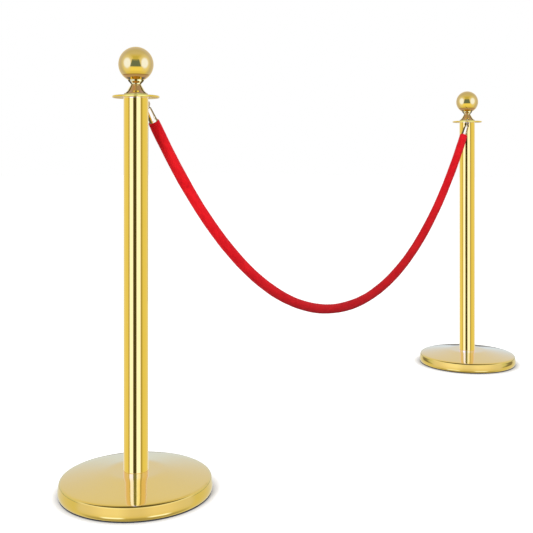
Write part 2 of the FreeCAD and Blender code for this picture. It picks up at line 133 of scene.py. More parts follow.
def round_corner(prev, corner, nxt, r, n=6):
    """Points that round one corner of a profile with about radius r."""
    a, b, c = (np.array(q, float) for q in (prev, corner, nxt))
    u, v = (a - b), (c - b)
    lu, lv = np.linalg.norm(u), np.linalg.norm(v)
    u, v = u / lu, v / lv
    half = math.acos(max(-1, min(1, float(u @ v)))) / 2
    d = min(r / math.tan(half), lu * 0.49, lv * 0.49)
    r = d * math.tan(half)
    centre = b + (u + v) / np.linalg.norm(u + v) * (r / math.sin(half))
    s, e = b + u * d - centre, b + v * d - centre
    total = math.acos(max(-1, min(1, float(s @ e) / (np.linalg.norm(s) * np.linalg.norm(e)))))
    out = []
    for i in range(n + 1):
        t = i / n
        k = (math.sin((1 - t) * total) * s + math.sin(t * total) * e) / max(math.sin(total), 1e-9)
        out.append(tuple(centre + k))
    return out


def rounded_loop(points, radii, n=6):
    """A closed profile with each corner rounded by its own radius."""
    out = []
    m = len(points)
    for i in range(m):
        r = radii[i] if isinstance(radii, (list, tuple)) else radii
        if r <= 0:
            out.append(tuple(points[i]))
        else:
            out += round_corner(points[i - 1], points[i], points[(i + 1) % m], r, n)
    return out


def lathe(name, profile, segs=128, closed=True, wobble=None, matrix=None):
    """Turns a profile of (r, z) in mm about Z. Points on the axis become poles."""
    pr = np.array(profile, float) * MM
    n = len(pr)
    ang = np.linspace(0, 2 * math.pi, segs, endpoint=False)
    verts, rows = [], []
    for i in range(n):
        r, z = pr[i]
        if r < 1e-7:
            rows.append([len(verts)])
            verts.append((0.0, 0.0, z))
            continue
        row = []
        for a in ang:
            rr, zz = (r, z) if wobble is None else wobble(r, z, a)
            row.append(len(verts))
            verts.append((rr * math.cos(a), rr * math.sin(a), zz))
        rows.append(row)
    faces = []
    for i in range(n if closed else n - 1):
        a, b = rows[i], rows[(i + 1) % n]
        if len(a) == 1 and len(b) == 1:
            continue
        for j in range(segs):
            k = (j + 1) % segs
            if len(a) == 1:
                faces.append((a[0], b[k], b[j]))
            elif len(b) == 1:
                faces.append((a[j], a[k], b[0]))
            else:
                faces.append((a[j], a[k], b[k], b[j]))
    ob = new_object(name, verts, faces)
    finish_normals(ob)
    if matrix is not None:
        ob.matrix_world = matrix
    return ob


def apply_modifiers(ob):
    dg = bpy.context.evaluated_depsgraph_get()
    me = bpy.data.meshes.new_from_object(ob.evaluated_get(dg), depsgraph=dg)
    ob.modifiers.clear()
    ob.data = me
    return ob


def post_matrix(side):
    if side == "left":
        return Matrix.Translation((-POST_X, 0, 0))
    return HALF_TURN @ Matrix.Translation((-POST_X, 0, 0))


def end_matrix(side):
    m = Matrix((
        (U.x, W.x, N.x, RIM.x),
        (U.y, W.y, N.y, RIM.y),
        (U.z, W.z, N.z, RIM.z),
        (0, 0, 0, 1)))
    return m if side == "left" else HALF_TURN @ m


def twin(ob, name, matrix):
    c = ob.copy()
    c.data = ob.data.copy()
    c.name = name
    c.data.name = name
    bpy.context.scene.collection.objects.link(c)
    c.matrix_world = matrix
    return c


# ------------------------------------------------------------------- materials
class Mat:
    """A small builder for node materials."""

    def __init__(self, name):
        self.m = bpy.data.materials.new(name)
        self.m.use_nodes = True
        self.nt = self.m.node_tree
        self.b = self.nt.nodes["Principled BSDF"]
        self.out = self.nt.nodes["Material Output"]
        self.tc = self.nt.nodes.new("ShaderNodeTexCoord")

    def put(self, socket, value):
        if isinstance(value, bpy.types.NodeSocket):
            self.nt.links.new(value, socket)
        elif value is not None:
            socket.default_value = value

    def node(self, kind, inputs=None, **props):
        n = self.nt.nodes.new(kind)
        for k, v in props.items():
            setattr(n, k, v)
        for k, v in (inputs or {}).items():
            self.put(n.inputs[k], v)
        return n

    def set(self, **kw):
        for k, v in kw.items():
            self.put(self.b.inputs[k.replace("_", " ")], v)

    def coords(self, scale=(1, 1, 1), kind="Object", rot=(0, 0, 0)):
        n = self.node("ShaderNodeMapping", {"Vector": self.tc.outputs[kind], "Scale": scale, "Rotation": rot})
        return n.outputs["Vector"]

    def noise(self, vec, scale, detail=3.0, rough=0.5, dist=0.0):
        n = self.node("ShaderNodeTexNoise", {"Vector": vec, "Scale": scale, "Detail": detail, "Roughness": rough, "Distortion": dist})
        return n.outputs["Fac"]

    def ramp(self, fac, stops, interp="LINEAR"):
        n = self.node("ShaderNodeValToRGB", {"Fac": fac})
        cr = n.color_ramp
        cr.interpolation = interp
        while len(cr.elements) < len(stops):
            cr.elements.new(0.5)
        for el, (p, c) in zip(cr.elements, stops):
            el.position = p
            el.color = (c, c, c, 1) if isinstance(c, (int, float)) else (tuple(c) + (1,))[:4]
        return n.outputs["Color"]

    def math(self, op, a, b=None, c=None):
        n = self.node("ShaderNodeMath", operation=op)
        self.put(n.inputs[0], a)
        if b is not None:
            self.put(n.inputs[1], b)
        if c is not None:
            self.put(n.inputs[2], c)
        return n.outputs["Value"]

    def span(self, fac, lo, hi):
        """A 0..1 value mapped to lo..hi."""
        n = self.node("ShaderNodeMapRange", {"Value": fac, "To Min": lo, "To Max": hi})
        return n.outputs["Result"]

    def mix(self, fac, a, b):
        n = self.node("ShaderNodeMix", data_type="RGBA")
        self.put(n.inputs[0], fac)
        self.put(n.inputs[6], a if isinstance(a, bpy.types.NodeSocket) else (tuple(a) + (1,))[:4])
        self.put(n.inputs[7], b if isinstance(b, bpy.types.NodeSocket) else (tuple(b) + (1,))[:4])
        return n.outputs[2]

    def bump(self, height, distance, strength=1.0, normal=None):
        n = self.node("ShaderNodeBump", {"Height": height, "Distance": distance, "Strength": strength})
        if normal is not None:
            self.put(n.inputs["Normal"], normal)
        return n.outputs["Normal"]

    def xyz(self, vec=None):
        n = self.node("ShaderNodeSeparateXYZ", {"Vector": vec if vec is not None else self.tc.outputs["Object"]})
        return n.outputs["X"], n.outputs["Y"], n.outputs["Z"]

    def radius(self):
        x, y, _ = self.xyz()
        return self.math("SQRT", self.math("ADD", self.math("MULTIPLY", x, x), self.math("MULTIPLY", y, y)))


GOLD = (0.90, 0.620, 0.075)
GOLD_DEEP = (0.875, 0.585, 0.062)


def polished_gold(name, lines="z", rough=0.035, tone=GOLD, deep=GOLD_DEEP, line_scale=900.0, line_depth=0.0000015, smudge=0.05, coat=0.35):
    """Lacquered polished brass: drawing or turning lines, a few smudges and a clear coat."""
    m = Mat(name)
    cloud = m.noise(m.coords((11, 11, 11)), 1.0, 3.0, 0.6)
    smear = m.ramp(m.noise(m.coords((34, 34, 22)), 1.0, 5.0, 0.62, 0.6), [(0.52, 0.0), (0.78, 1.0)])
    if lines == "z":                        # drawn tube: lines run up it
        line = m.noise(m.coords((line_scale, line_scale, 4.0)), 1.0, 2.0, 0.5)
    elif lines == "turn":                   # turned: lines run round it
        _, _, z = m.xyz()
        comb = m.node("ShaderNodeCombineXYZ", {"X": m.math("MULTIPLY", z, line_scale * 3), "Y": m.math("MULTIPLY", m.radius(), line_scale * 2)})
        line = m.noise(comb.outputs["Vector"], 1.0, 2.0, 0.5)
    else:                                   # cast and tumbled
        line = m.noise(m.coords((line_scale, line_scale, line_scale)), 1.0, 3.0, 0.6)
    m.set(Base_Color=m.mix(cloud, tone, deep), Metallic=1.0,
          Roughness=m.math("ADD", m.span(smear, rough, rough + smudge), m.math("MULTIPLY", line, 0.012)),
          Coat_Weight=coat, Coat_Roughness=0.03, Coat_IOR=1.45)
    n1 = m.bump(line, line_depth)
    n2 = m.bump(m.noise(m.coords((9, 9, 7)), 1.0, 2.0, 0.5), 0.00003, 1.0, n1)
    m.set(Normal=n2)
    return m.m


def spun_gold(name):
    """The base cover: spun sheet, polished, with fine turning rings and a lacquer coat."""
    m = Mat(name)
    r = m.radius()
    _, _, z = m.xyz()
    comb = m.node("ShaderNodeCombineXYZ", {"X": m.math("MULTIPLY", r, 1500.0), "Y": m.math("MULTIPLY", z, 1500.0)})
    rings = m.noise(comb.outputs["Vector"], 1.0, 2.0, 0.6)
    comb2 = m.node("ShaderNodeCombineXYZ", {"X": m.math("MULTIPLY", r, 160.0), "Y": m.math("MULTIPLY", z, 160.0)})
    wide = m.noise(comb2.outputs["Vector"], 1.0, 2.0, 0.5)
    cloud = m.noise(m.coords((7, 7, 7)), 1.0, 3.0, 0.55)
    smear = m.ramp(m.noise(m.coords((22, 22, 22)), 1.0, 5.0, 0.65, 0.8), [(0.52, 0.0), (0.80, 1.0)])
    m.set(Base_Color=m.mix(cloud, (0.90, 0.62, 0.10), (0.87, 0.59, 0.085)), Metallic=1.0,
          Roughness=m.math("ADD", m.span(smear, 0.045, 0.10), m.math("MULTIPLY", rings, 0.02)),
          Coat_Weight=0.5, Coat_Roughness=0.04, Coat_IOR=1.5)
    n1 = m.bump(rings, 0.0000015)
    n2 = m.bump(wide, 0.000004, 1.0, n1)
    m.set(Normal=n2)
    return m.m


def velvet(name):
    """Red cotton velvet: a short nap that brushes light and dark, with sheen at grazing angles, and painted shade that
    deepens the red and lowers the sheen in the sag.
    """
    m = Mat(name)
    uv = m.coords((1, 1, 1), "UV")
    nap = m.noise(m.node("ShaderNodeMapping", {"Vector": uv, "Scale": (60, 120, 1)}).outputs["Vector"], 1.0, 6.0, 0.62, 1.2)
    crush = m.noise(m.node("ShaderNodeMapping", {"Vector": uv, "Scale": (14, 26, 1)}).outputs["Vector"], 1.0, 4.0, 0.6, 0.8)
    pile = m.noise(m.node("ShaderNodeMapping", {"Vector": uv, "Scale": (1500, 1500, 1)}).outputs["Vector"], 1.0, 2.0, 0.5)
    rib = m.node("ShaderNodeTexVoronoi", {"Vector": m.node("ShaderNodeMapping", {"Vector": uv, "Scale": (900, 900, 1)}).outputs["Vector"], "Scale": 1.0}).outputs["Distance"]
    tone = m.mix(m.ramp(nap, [(0.30, 0.0), (0.70, 1.0)]), (0.58, 0.005, 0.012), (0.88, 0.009, 0.016))
    tone = m.mix(m.math("MULTIPLY", m.ramp(crush, [(0.42, 0.0), (0.68, 1.0)]), 0.45), tone, (0.97, 0.020, 0.026))
    # painted shade: the red deepens and the sheen drops in the sag, darkest in the rope's middle and lightest at its
    # ends
    x, _, _ = m.xyz(uv)
    n = m.node("ShaderNodeMapRange", {"Value": x, "From Min": -0.86, "From Max": 0.86})
    sag_shade = m.ramp(n.outputs["Result"], [(0.0, 1.0), (0.14, 0.98), (0.30, 0.84), (0.44, 0.60), (0.55, 0.58), (0.70, 0.58), (0.84, 0.74), (1.0, 0.92)], "B_SPLINE")
    tone = m.mix(sag_shade, (0.0, 0.004, 0.004), tone)
    # the painted sag shade also scales the sheen
    m.set(Base_Color=tone, Roughness=0.85, Specular_IOR_Level=0.10,
          Sheen_Weight=m.math("MULTIPLY", sag_shade, 0.34), Sheen_Roughness=0.40, Sheen_Tint=(1.0, 0.28, 0.32, 1.0))
    h = m.math("ADD", m.math("MULTIPLY", pile, 0.5), m.math("MULTIPLY", rib, 0.5))
    n1 = m.bump(h, 0.00022)
    n2 = m.bump(nap, 0.0007, 0.7, n1)
    m.set(Normal=n2)
    return m.m


def simple_noise(name, c1, c2, rough=(0.4, 0.6), metallic=0.0, scale=60.0, bump=0.00005, spec=0.5):
    m = Mat(name)
    n = m.noise(m.coords((scale, scale, scale)), 1.0, 5.0, 0.6, 0.2)
    f = m.noise(m.coords((scale * 9, scale * 9, scale * 9)), 1.0, 3.0, 0.6)
    m.set(Base_Color=m.mix(n, c1, c2), Metallic=metallic, Roughness=m.span(f, rough[0], rough[1]), Specular_IOR_Level=spec)
    m.set(Normal=m.bump(m.math("ADD", n, m.math("MULTIPLY", f, 0.35)), bump))
    return m.m


MAT = {
    "tube": polished_gold("tube_gold", "z"),
    "turned": polished_gold("turned_gold", "turn", rough=0.05),
    "ball": polished_gold("ball_gold", "turn", rough=0.05, line_scale=500.0, line_depth=0.000001, smudge=0.04),
    "plate": polished_gold("plate_gold", "cast", rough=0.09, line_scale=260.0, line_depth=0.000004),
    "hook": polished_gold("hook_gold", "cast", rough=0.08, tone=(0.93, 0.68, 0.20), deep=(0.86, 0.58, 0.13), line_scale=420.0, line_depth=0.000006),
    "base": spun_gold("base_gold"),
    "velvet": velvet("red_velvet"),
    "rubber": simple_noise("black_rubber", (0.012, 0.013, 0.014), (0.03, 0.03, 0.032), (0.55, 0.8), 0.0, 90.0, 0.00015, 0.35),
    "concrete": simple_noise("concrete", (0.36, 0.35, 0.33), (0.58, 0.57, 0.54), (0.8, 0.95), 0.0, 45.0, 0.0006, 0.2),
    "zinc": simple_noise("zinc_steel", (0.52, 0.54, 0.56), (0.68, 0.69, 0.70), (0.25, 0.42), 1.0, 120.0, 0.00003),
    "steel": simple_noise("plain_steel", (0.38, 0.38, 0.39), (0.52, 0.52, 0.53), (0.3, 0.5), 1.0, 100.0, 0.00004),
    "spring": simple_noise("spring_steel", (0.42, 0.43, 0.45), (0.56, 0.57, 0.58), (0.2, 0.3), 1.0, 200.0, 0.00001),
    "nylon": simple_noise("white_nylon", (0.76, 0.75, 0.70), (0.86, 0.85, 0.81), (0.4, 0.55), 0.0, 80.0, 0.00004, 0.45),
    "cotton": simple_noise("cotton_core", (0.66, 0.62, 0.52), (0.82, 0.79, 0.70), (0.8, 0.95), 0.0, 220.0, 0.0004, 0.2),
    "thread": simple_noise("red_thread", (0.40, 0.006, 0.012), (0.56, 0.010, 0.018), (0.6, 0.8), 0.0, 300.0, 0.0001, 0.3),
}


def dress(ob, mat, slot, body, *nodes, world=None):
    """Material, body and the CAD nodes that a finished piece stands for. The slot is not used."""
    ob.data.materials.clear()
    ob.data.materials.append(MAT[mat])
    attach(ob, body)
    if nodes:
        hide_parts(*nodes)
    return ob


# ------------------------------------------------------------ the post's pieces
COVER = [
    (48.0, 45.0), (54.0, 44.85), (61.0, 44.3), (70.0, 43.15), (83.0, 41.3), (98.0, 39.2),
    (114.0, 36.9), (129.0, 34.7), (141.0, 32.75), (149.0, 31.2), (152.2, 30.25),
    (154.1, 28.9), (155.1, 27.0), (155.9, 23.0), (156.8, 18.0), (157.4, 14.0), (157.5, 10.5),
    (157.2, 7.5), (156.5, 5.0), (155.3, 3.0),
]


def offset(points, d):
    out, n = [], len(points)
    for i, (r, z) in enumerate(points):
        a, b = points[max(i - 1, 0)], points[min(i + 1, n - 1)]
        tr, tz = b[0] - a[0], b[1] - a[1]
        k = math.hypot(tr, tz)
        out.append((r + d * tz / k, z - d * tr / k))
    return out


def base_cover():
    outer = refine(COVER[:9], 2.5)[:-1] + refine(COVER[8:], 0.8)
    inner = offset(COVER, 1.0)
    inner[0], inner[-1] = (48.0, 44.0), (154.3, 3.0)
    inner = refine(inner, 5.0)
    lip = round_corner(outer[-2], (155.3, 3.0), (154.3, 3.0), 0.3, 3)
    hole = [(6.4, 44.0), (6.4, 44.7), (6.7, 45.0)]
    flat = [(12.0, 45.0), (20.0, 45.0), (25.0, 45.0), (27.0, 45.0), (34.0, 45.0), (41.0, 45.0), (46.0, 45.0)]
    profile = hole + flat + outer[:-1] + lip + list(reversed(inner))[1:] + [(30.0, 44.0)]
    ob = lathe("base_shell", profile, 224)
    shade(ob, 40)
    return ob


def edge_ring():
    # rubber ring with a small outer bead and two grooves on the side that meets the floor
    pts = [(146.0, 0.0), (148.6, 0.0), (149.0, 0.7), (149.6, 0.7), (150.0, 0.0), (152.0, 0.0), (152.3, 0.6), (152.8, 0.6), (153.1, 0.0),
           (154.7, 0.0), (155.3, 0.6), (155.3, 2.3), (154.9, 3.0), (146.0, 3.0)]
    radii = [0.3, 0.15, 0.1, 0.1, 0.15, 0.15, 0.1, 0.1, 0.15, 0.3, 0.3, 0.3, 0.1, 0.2]
    ob = lathe("foot_ring", rounded_loop(pts, radii, 3), 192)
    shade(ob, 35)
    return ob


def tube():
    ro, ri = 25.4, 23.9
    z0, z1 = 45.0, 810.0
    bottom = round_corner((ri, z0), (ro, z0), (ro, z0 + 10), 0.7, 5)
    top = round_corner((ro, z1 - 10), (ro, z1), (ri, z1), 0.5, 4)
    side = [(ro, z0 + 1.0 + (z1 - z0 - 2.0) * i / 90) for i in range(91)]
    profile = [(ri, z0)] + bottom + side + top + [(ri, z1)]
    ob = lathe("post_tube", profile, 160)
    shade(ob, 40)
    return ob


def disc_with_holes(name, r_out, edge, z0, z1, holes, hole_edge, segs=160):
    """A plate: rounded outer edge, round holes with eased edges, flat faces triangulated between them."""
    from mathutils.geometry import delaunay_2d_cdt
    verts, faces = [], []

    def ring(cx, cy, r, z, n):
        ids = []
        for i in range(n):
            a = 2 * math.pi * i / n
            ids.append(len(verts))
            verts.append(Vector((cx + r * math.cos(a), cy + r * math.sin(a), z)) * MM)
        return ids

    def bridge(a, b):
        n = len(a)
        for i in range(n):
            faces.append((a[i], a[(i + 1) % n], b[(i + 1) % n], b[i]))

    def arc_rings(cx, cy, r, e, n, outward):
        """Rings from the top flat, round the top edge, down the wall and round the bottom edge."""
        rows = []
        steps = 6
        for i in range(steps + 1):
            t = math.pi / 2 * i / steps
            rr = r - e + e * math.sin(t) if outward else r + e - e * math.sin(t)
            rows.append(ring(cx, cy, rr, z1 - e + e * math.cos(t), n))
        for i in range(steps + 1):
            t = math.pi / 2 * i / steps
            rr = r - e + e * math.cos(t) if outward else r + e - e * math.cos(t)
            rows.append(ring(cx, cy, rr, z0 + e - e * math.sin(t), n))
        for p, q in zip(rows[:-1], rows[1:]):
            bridge(p, q)
        return rows[0], rows[-1]

    loops = [arc_rings(0, 0, r_out, edge, segs, True)]
    for cx, cy, r in holes:
        loops.append(arc_rings(cx, cy, r, hole_edge, 48, False))
    for side in (0, 1):
        pts, edges, back = [], [], []
        # a support ring just inside the rim keeps the flat face flat in shading
        for loop in loops:
            ids = loop[side]
            start = len(pts)
            for v in ids:
                pts.append(verts[v].to_2d() * 1000)
                back.append(v)
            edges += [(start + i, start + (i + 1) % len(ids)) for i in range(len(ids))]
        extra = []
        for rr in (8.5, 17.0, 26.0, 29.5, r_out - edge - 0.7):
            for i in range(72):
                a = 2 * math.pi * (i + 0.5) / 72
                p = Vector((rr * math.cos(a), rr * math.sin(a)))
                if all((p - Vector((h[0], h[1]))).length > h[2] + hole_edge + 0.6 for h in holes):
                    extra.append(p)
        z = (z1 if side == 0 else z0) * MM
        for p in extra:
            pts.append(p)
            back.append(len(verts))
            verts.append(Vector((p.x * MM, p.y * MM, z)))
        ov, oe, of, orig_v, orig_e, orig_f = delaunay_2d_cdt(pts, edges, [], 0, 1e-5)
        idx = []
        for i, o in enumerate(orig_v):
            idx.append(back[o[0]] if o else None)
        for i, p in enumerate(ov):
            if idx[i] is None:
                idx[i] = len(verts)
                verts.append(Vector((p.x * MM, p.y * MM, z)))
        for f in of:
            c = sum((ov[i] for i in f), Vector((0, 0))) / len(f)
            if c.length > r_out - edge + 1e-3:
                continue
            if any((c - Vector((h[0], h[1]))).length < h[2] + hole_edge - 1e-3 for h in holes):
                continue
            faces.append(tuple(idx[i] for i in f))
    ob = new_object(name, verts, faces)
    finish_normals(ob)
    return ob


def ring_plate():
    holes = [(0.0, 0.0, 5.25)]
    for i in range(4):
        a = math.radians(38.0 + 90 * i)
        holes.append((38.5 * math.cos(a), 38.5 * math.sin(a), 7.0))
    ob = disc_with_holes("ring_plate", 48.5, 1.2, 810.0, 814.0, holes, 0.5)
    shade(ob, 50)
    weighted(ob)
    return ob


def collar():
    z0 = 814.0
    arc = [(23.6 + 1.9 * math.cos(math.radians(t)), z0 + 2 + 2.0 * math.sin(math.radians(t))) for t in np.linspace(-88, 88, 15)]
    profile = [(16.3, z0 + 0.02), (20.0, z0 + 0.02)] + arc + [(20.0, z0 + 4), (5.3, z0 + 4), (5.3, z0 + 1.2), (16.3, z0 + 1.2)]
    ob = lathe("finial_bead", profile, 160)
    shade(ob, 40)
    return ob


NECK = [
    (24.9, 818.0), (24.6, 818.9), (23.2, 820.2), (20.9, 822.0), (18.6, 824.0), (17.2, 826.0),
    (15.9, 828.3), (14.5, 830.5), (13.3, 832.5), (12.2, 834.5), (11.1, 836.3), (10.7, 837.4),
    (11.0, 838.9), (12.3, 840.8), (14.2, 842.6), (15.6, 844.3), (16.1, 845.6), (16.0, 846.4),
]


def neck():
    outer = refine(NECK, 0.45)
    seat = []
    for r in np.linspace(15.8, 5.3, 12):
        seat.append((float(r), 879.0 - math.sqrt(36.02 ** 2 - r * r)))
    profile = [(5.3, 818.02), (14.0, 818.02), (22.0, 818.02)] + [(24.7, 818.02)] + outer[1:] + [(15.95, 846.6)] + seat
    ob = lathe("finial_neck", profile, 160)
    shade(ob, 45)
    return ob


def ball():
    ro, ri, zc = 36.0, 34.8, 879.0
    t0 = math.asin(5.4 / ro)
    t1 = math.asin(5.4 / ri)
    outer = [(ro * math.sin(t), zc - ro * math.cos(t)) for t in np.linspace(t0, math.pi, 97)]
    outer[-1] = (0.0, zc + ro)
    inner = [(ri * math.sin(t), zc - ri * math.cos(t)) for t in np.linspace(math.pi, t1, 60)]
    inner[0] = (0.0, zc + ri)
    # the two spun halves meet in a polished seam at the equator, barely to be seen
    outer = [(r - 0.02 * math.exp(-((z - zc) / 0.5) ** 2), z) if r > 1 else (r, z) for r, z in outer]
    ob = lathe("finial_ball", outer + inner, 144)
    shade(ob, 60)
    return ob


def threaded(name, r, z0, z1, pitch, depth, segs=36, chamfer=0.7, per=8):
    """A threaded rod: right-handed, with chamfered ends."""
    rows = max(2, int((z1 - z0) / pitch * per))
    verts, faces = [], []
    for i in range(rows + 1):
        z = z0 + (z1 - z0) * i / rows
        for j in range(segs):
            a = 2 * math.pi * j / segs
            ph = ((z - z0) / pitch - a / (2 * math.pi)) % 1.0
            tri = abs(2 * ph - 1)
            rr = r - depth * min(1.0, max(0.0, tri * 1.25 - 0.12))
            end = min(z - z0, z1 - z)
            if end < chamfer:
                rr = min(rr, r - depth - 0.1 + (depth + 0.1) * end / chamfer)
            verts.append((rr * MM * math.cos(a), rr * MM * math.sin(a), z * MM))
    for i in range(rows):
        for j in range(segs):
            k = (j + 1) % segs
            faces.append((i * segs + j, i * segs + k, (i + 1) * segs + k, (i + 1) * segs + j))
    b, t = len(verts), len(verts) + 1
    verts += [(0, 0, z0 * MM), (0, 0, z1 * MM)]
    for j in range(segs):
        k = (j + 1) % segs
        faces.append((b, k, j))
        faces.append((t, rows * segs + j, rows * segs + k))
    ob = new_object(name, verts, faces)
    finish_normals(ob)
    shade(ob, 50)
    return ob


def hex_nut(name, af, h, z, bore, flat=5):
    """A hex nut with turned chamfers on both faces."""
    rc = af / math.sqrt(3)
    verts, faces = [], []
    segs = 72

    def hexr(a):
        s = math.pi / 3
        return (af / 2) / math.cos((a % s) - s / 2)

    levels = []
    for t in np.linspace(0, 1, 9):
        zz = z + h * t
        d = min(zz - z, z + h - zz)
        limit = af / 2 * 0.985 + d * 1.9
        row = []
        for j in range(segs):
            a = 2 * math.pi * j / segs
            rr = min(hexr(a + math.pi / 6), limit, rc)
            row.append(len(verts))
            verts.append((rr * MM * math.cos(a), rr * MM * math.sin(a), zz * MM))
        levels.append(row)

    def circle(r, zz):
        row = []
        for j in range(segs):
            a = 2 * math.pi * j / segs
            row.append(len(verts))
            verts.append((r * MM * math.cos(a), r * MM * math.sin(a), zz * MM))
        return row

    inner = [circle(bore + 0.7, z), circle(bore, z + 0.7), circle(bore, z + h - 0.7), circle(bore + 0.7, z + h)]
    loop = levels + list(reversed(inner))
    for a, b in zip(loop, loop[1:] + loop[:1]):
        for j in range(segs):
            k = (j + 1) % segs
            faces.append((a[j], a[k], b[k], b[j]))
    ob = new_object(name, verts, faces)
    finish_normals(ob)
    shade(ob, 25)
    return ob


def washer(name, ri, ro, z0, z1):
    ob = lathe(name, rounded_loop([(ri, z0), (ro, z0), (ro, z1), (ri, z1)], 0.4, 4), 96)
    shade(ob, 40)
    return ob


POST_PIECES = [
    (base_cover(), "base", "satin_gold", "posts", "base_cover"),
    (edge_ring(), "rubber", "black_rubber", "posts", "base_edge_ring"),
    (threaded("base_rod", 5.98, 5.0, 71.0, 1.75, 0.95), "zinc", "zinc_steel", "posts", "base_rod"),
    (hex_nut("base_nut", 19.0, 10.0, 8.0, 6.0), "zinc", "zinc_steel", "posts", "base_nut"),
    (washer("base_washer", 6.4, 22.0, 18.0, 21.0), "zinc", "zinc_steel", "posts", "base_washer"),
    (tube(), "tube", "polished_gold", "posts", "tube"),
    (ring_plate(), "plate", "polished_gold", "posts", "rope_ring"),
    (collar(), "turned", "polished_gold", "finial", "finial_collar"),
    (neck(), "turned", "polished_gold", "finial", "finial_neck"),
    (ball(), "ball", "polished_gold", "finial", "finial_ball"),
    (threaded("finial_stud", 4.95, 798.0, 856.0, 1.5, 0.85), "zinc", "zinc_steel", "finial", "finial_stud"),
]
for ob, mat, slot, body, node in POST_PIECES:
    base = ob.name
    right = twin(ob, "right_" + base + "_look", post_matrix("right"))
    ob.name = "left_" + base + "_look"
    ob.data.name = ob.name
    ob.matrix_world = post_matrix("left")
    for side, piece in (("left", ob), ("right", right)):
        dress(piece, mat, slot, "posts" if body == "posts" else side + "_" + body, side + "_" + node)

# ------------------------------------------------------------- hooks and ferrules
TO_X = Matrix.Rotation(math.pi / 2, 4, "Y")          # a lathe's z axis laid along the hook frame's x


def ferrule():
    out = [(3.1, 23.3), (5.6, 23.3), (6.7, 24.0), (7.5, 25.3), (7.62, 26.4), (7.35, 26.8), (7.35, 27.4), (7.72, 27.8),
           (8.95, 50.4), (8.75, 50.9), (8.75, 51.5), (9.05, 51.9), (9.1, 52.8), (9.6, 53.2), (9.6, 55.5), (9.3, 56.0),
           (6.6, 56.0), (6.6, 34.0), (5.2, 33.0), (5.2, 26.25), (3.1, 26.25)]
    radii = [0.1, 0.5, 0.5, 0.4, 0.2, 0.15, 0.15, 0.2, 0.2, 0.15, 0.15, 0.2, 0.15, 0.35, 0.4, 0.15, 0.15, 0.2, 0.2, 0.1, 0.05]
    ob = lathe("ferrule", rounded_loop(out, radii, 4), 96)
    shade(ob, 45)
    ob.data.transform(TO_X)
    return ob


def rivet():
    h = 8.9
    half = [(1.5, 0.0), (1.5, h)] + [(2.5 * math.cos(t), h + 0.15 + 1.0 * math.sin(t)) for t in np.linspace(0.0, math.pi / 2, 9)]
    half[-1] = (0.0, h + 1.15)
    prof = [(r, -z) for r, z in reversed(half)] + half[1:]
    ob = lathe("ferrule_rivet", prof, 40, closed=False)
    shade(ob, 50)
    ob.data.transform(Matrix.Translation((46.0 * MM, 0, 0)))
    return ob


def softened(node, name, voxel, rounds, side):
    """A piece from a CAD node's own shape, with its machined edges eased as on a tumbled casting."""
    src = frame["nodes"][node]
    me = src.data.copy()
    ob = bpy.data.objects.new(name, me)
    bpy.context.scene.collection.objects.link(ob)
    me.transform(end_matrix(side).inverted())
    bm = bmesh.new()
    bm.from_mesh(me)
    bmesh.ops.remove_doubles(bm, verts=bm.verts, dist=2e-7)
    bm.to_mesh(me)
    bm.free()
    r = ob.modifiers.new("remesh", "REMESH")
    r.mode = "VOXEL"
    r.voxel_size = voxel
    r.adaptivity = 0.0
    s = ob.modifiers.new("smooth", "SMOOTH")
    s.factor = 0.5
    s.iterations = rounds
    apply_modifiers(ob)
    ob.data.materials.clear()
    ob.data.polygons.foreach_set("use_smooth", [True] * len(ob.data.polygons))
    return ob


END_PIECES = [
    (ferrule(), "hook", "hook_brass", "rope", "rope_ferrule"),
    (rivet(), "hook", "hook_brass", "rope", "ferrule_rivet"),
    (softened("left_hook_body", "hook_body", 0.00017, 5, "left"), "hook", "hook_brass", "hook", "hook_body"),
    (softened("left_hook_gate", "hook_gate", 0.00013, 4, "left"), "hook", "hook_brass", "gate", "hook_gate"),
]
for ob, mat, slot, body, node in END_PIECES:
    base = ob.name
    right = twin(ob, "right_" + base + "_look", end_matrix("right"))
    ob.name = "left_" + base + "_look"
    ob.data.name = ob.name
    ob.matrix_world = end_matrix("left")
    for side, piece in (("left", ob), ("right", right)):
        dress(piece, mat, slot, "rope" if body == "rope" else side + "_" + body, side + "_" + node)


# ------------------------------------------------------------------- the rope
def rope_frame(s):
    z = CAT_Z0 + CAT_A * (math.cosh(s / CAT_A) - 1)
    c = Vector((E.x * s, E.y * s, z))
    sl = math.sinh(s / CAT_A)
    k = math.hypot(1, sl)
    t = Vector((E.x / k, E.y / k, sl / k))
    up = Vector((-E.x * sl / k, -E.y * sl / k, 1 / k))
    return c, t, up


ROPE_R = 12.75
L_END = CAT_A * math.sinh(S0 / CAT_A)


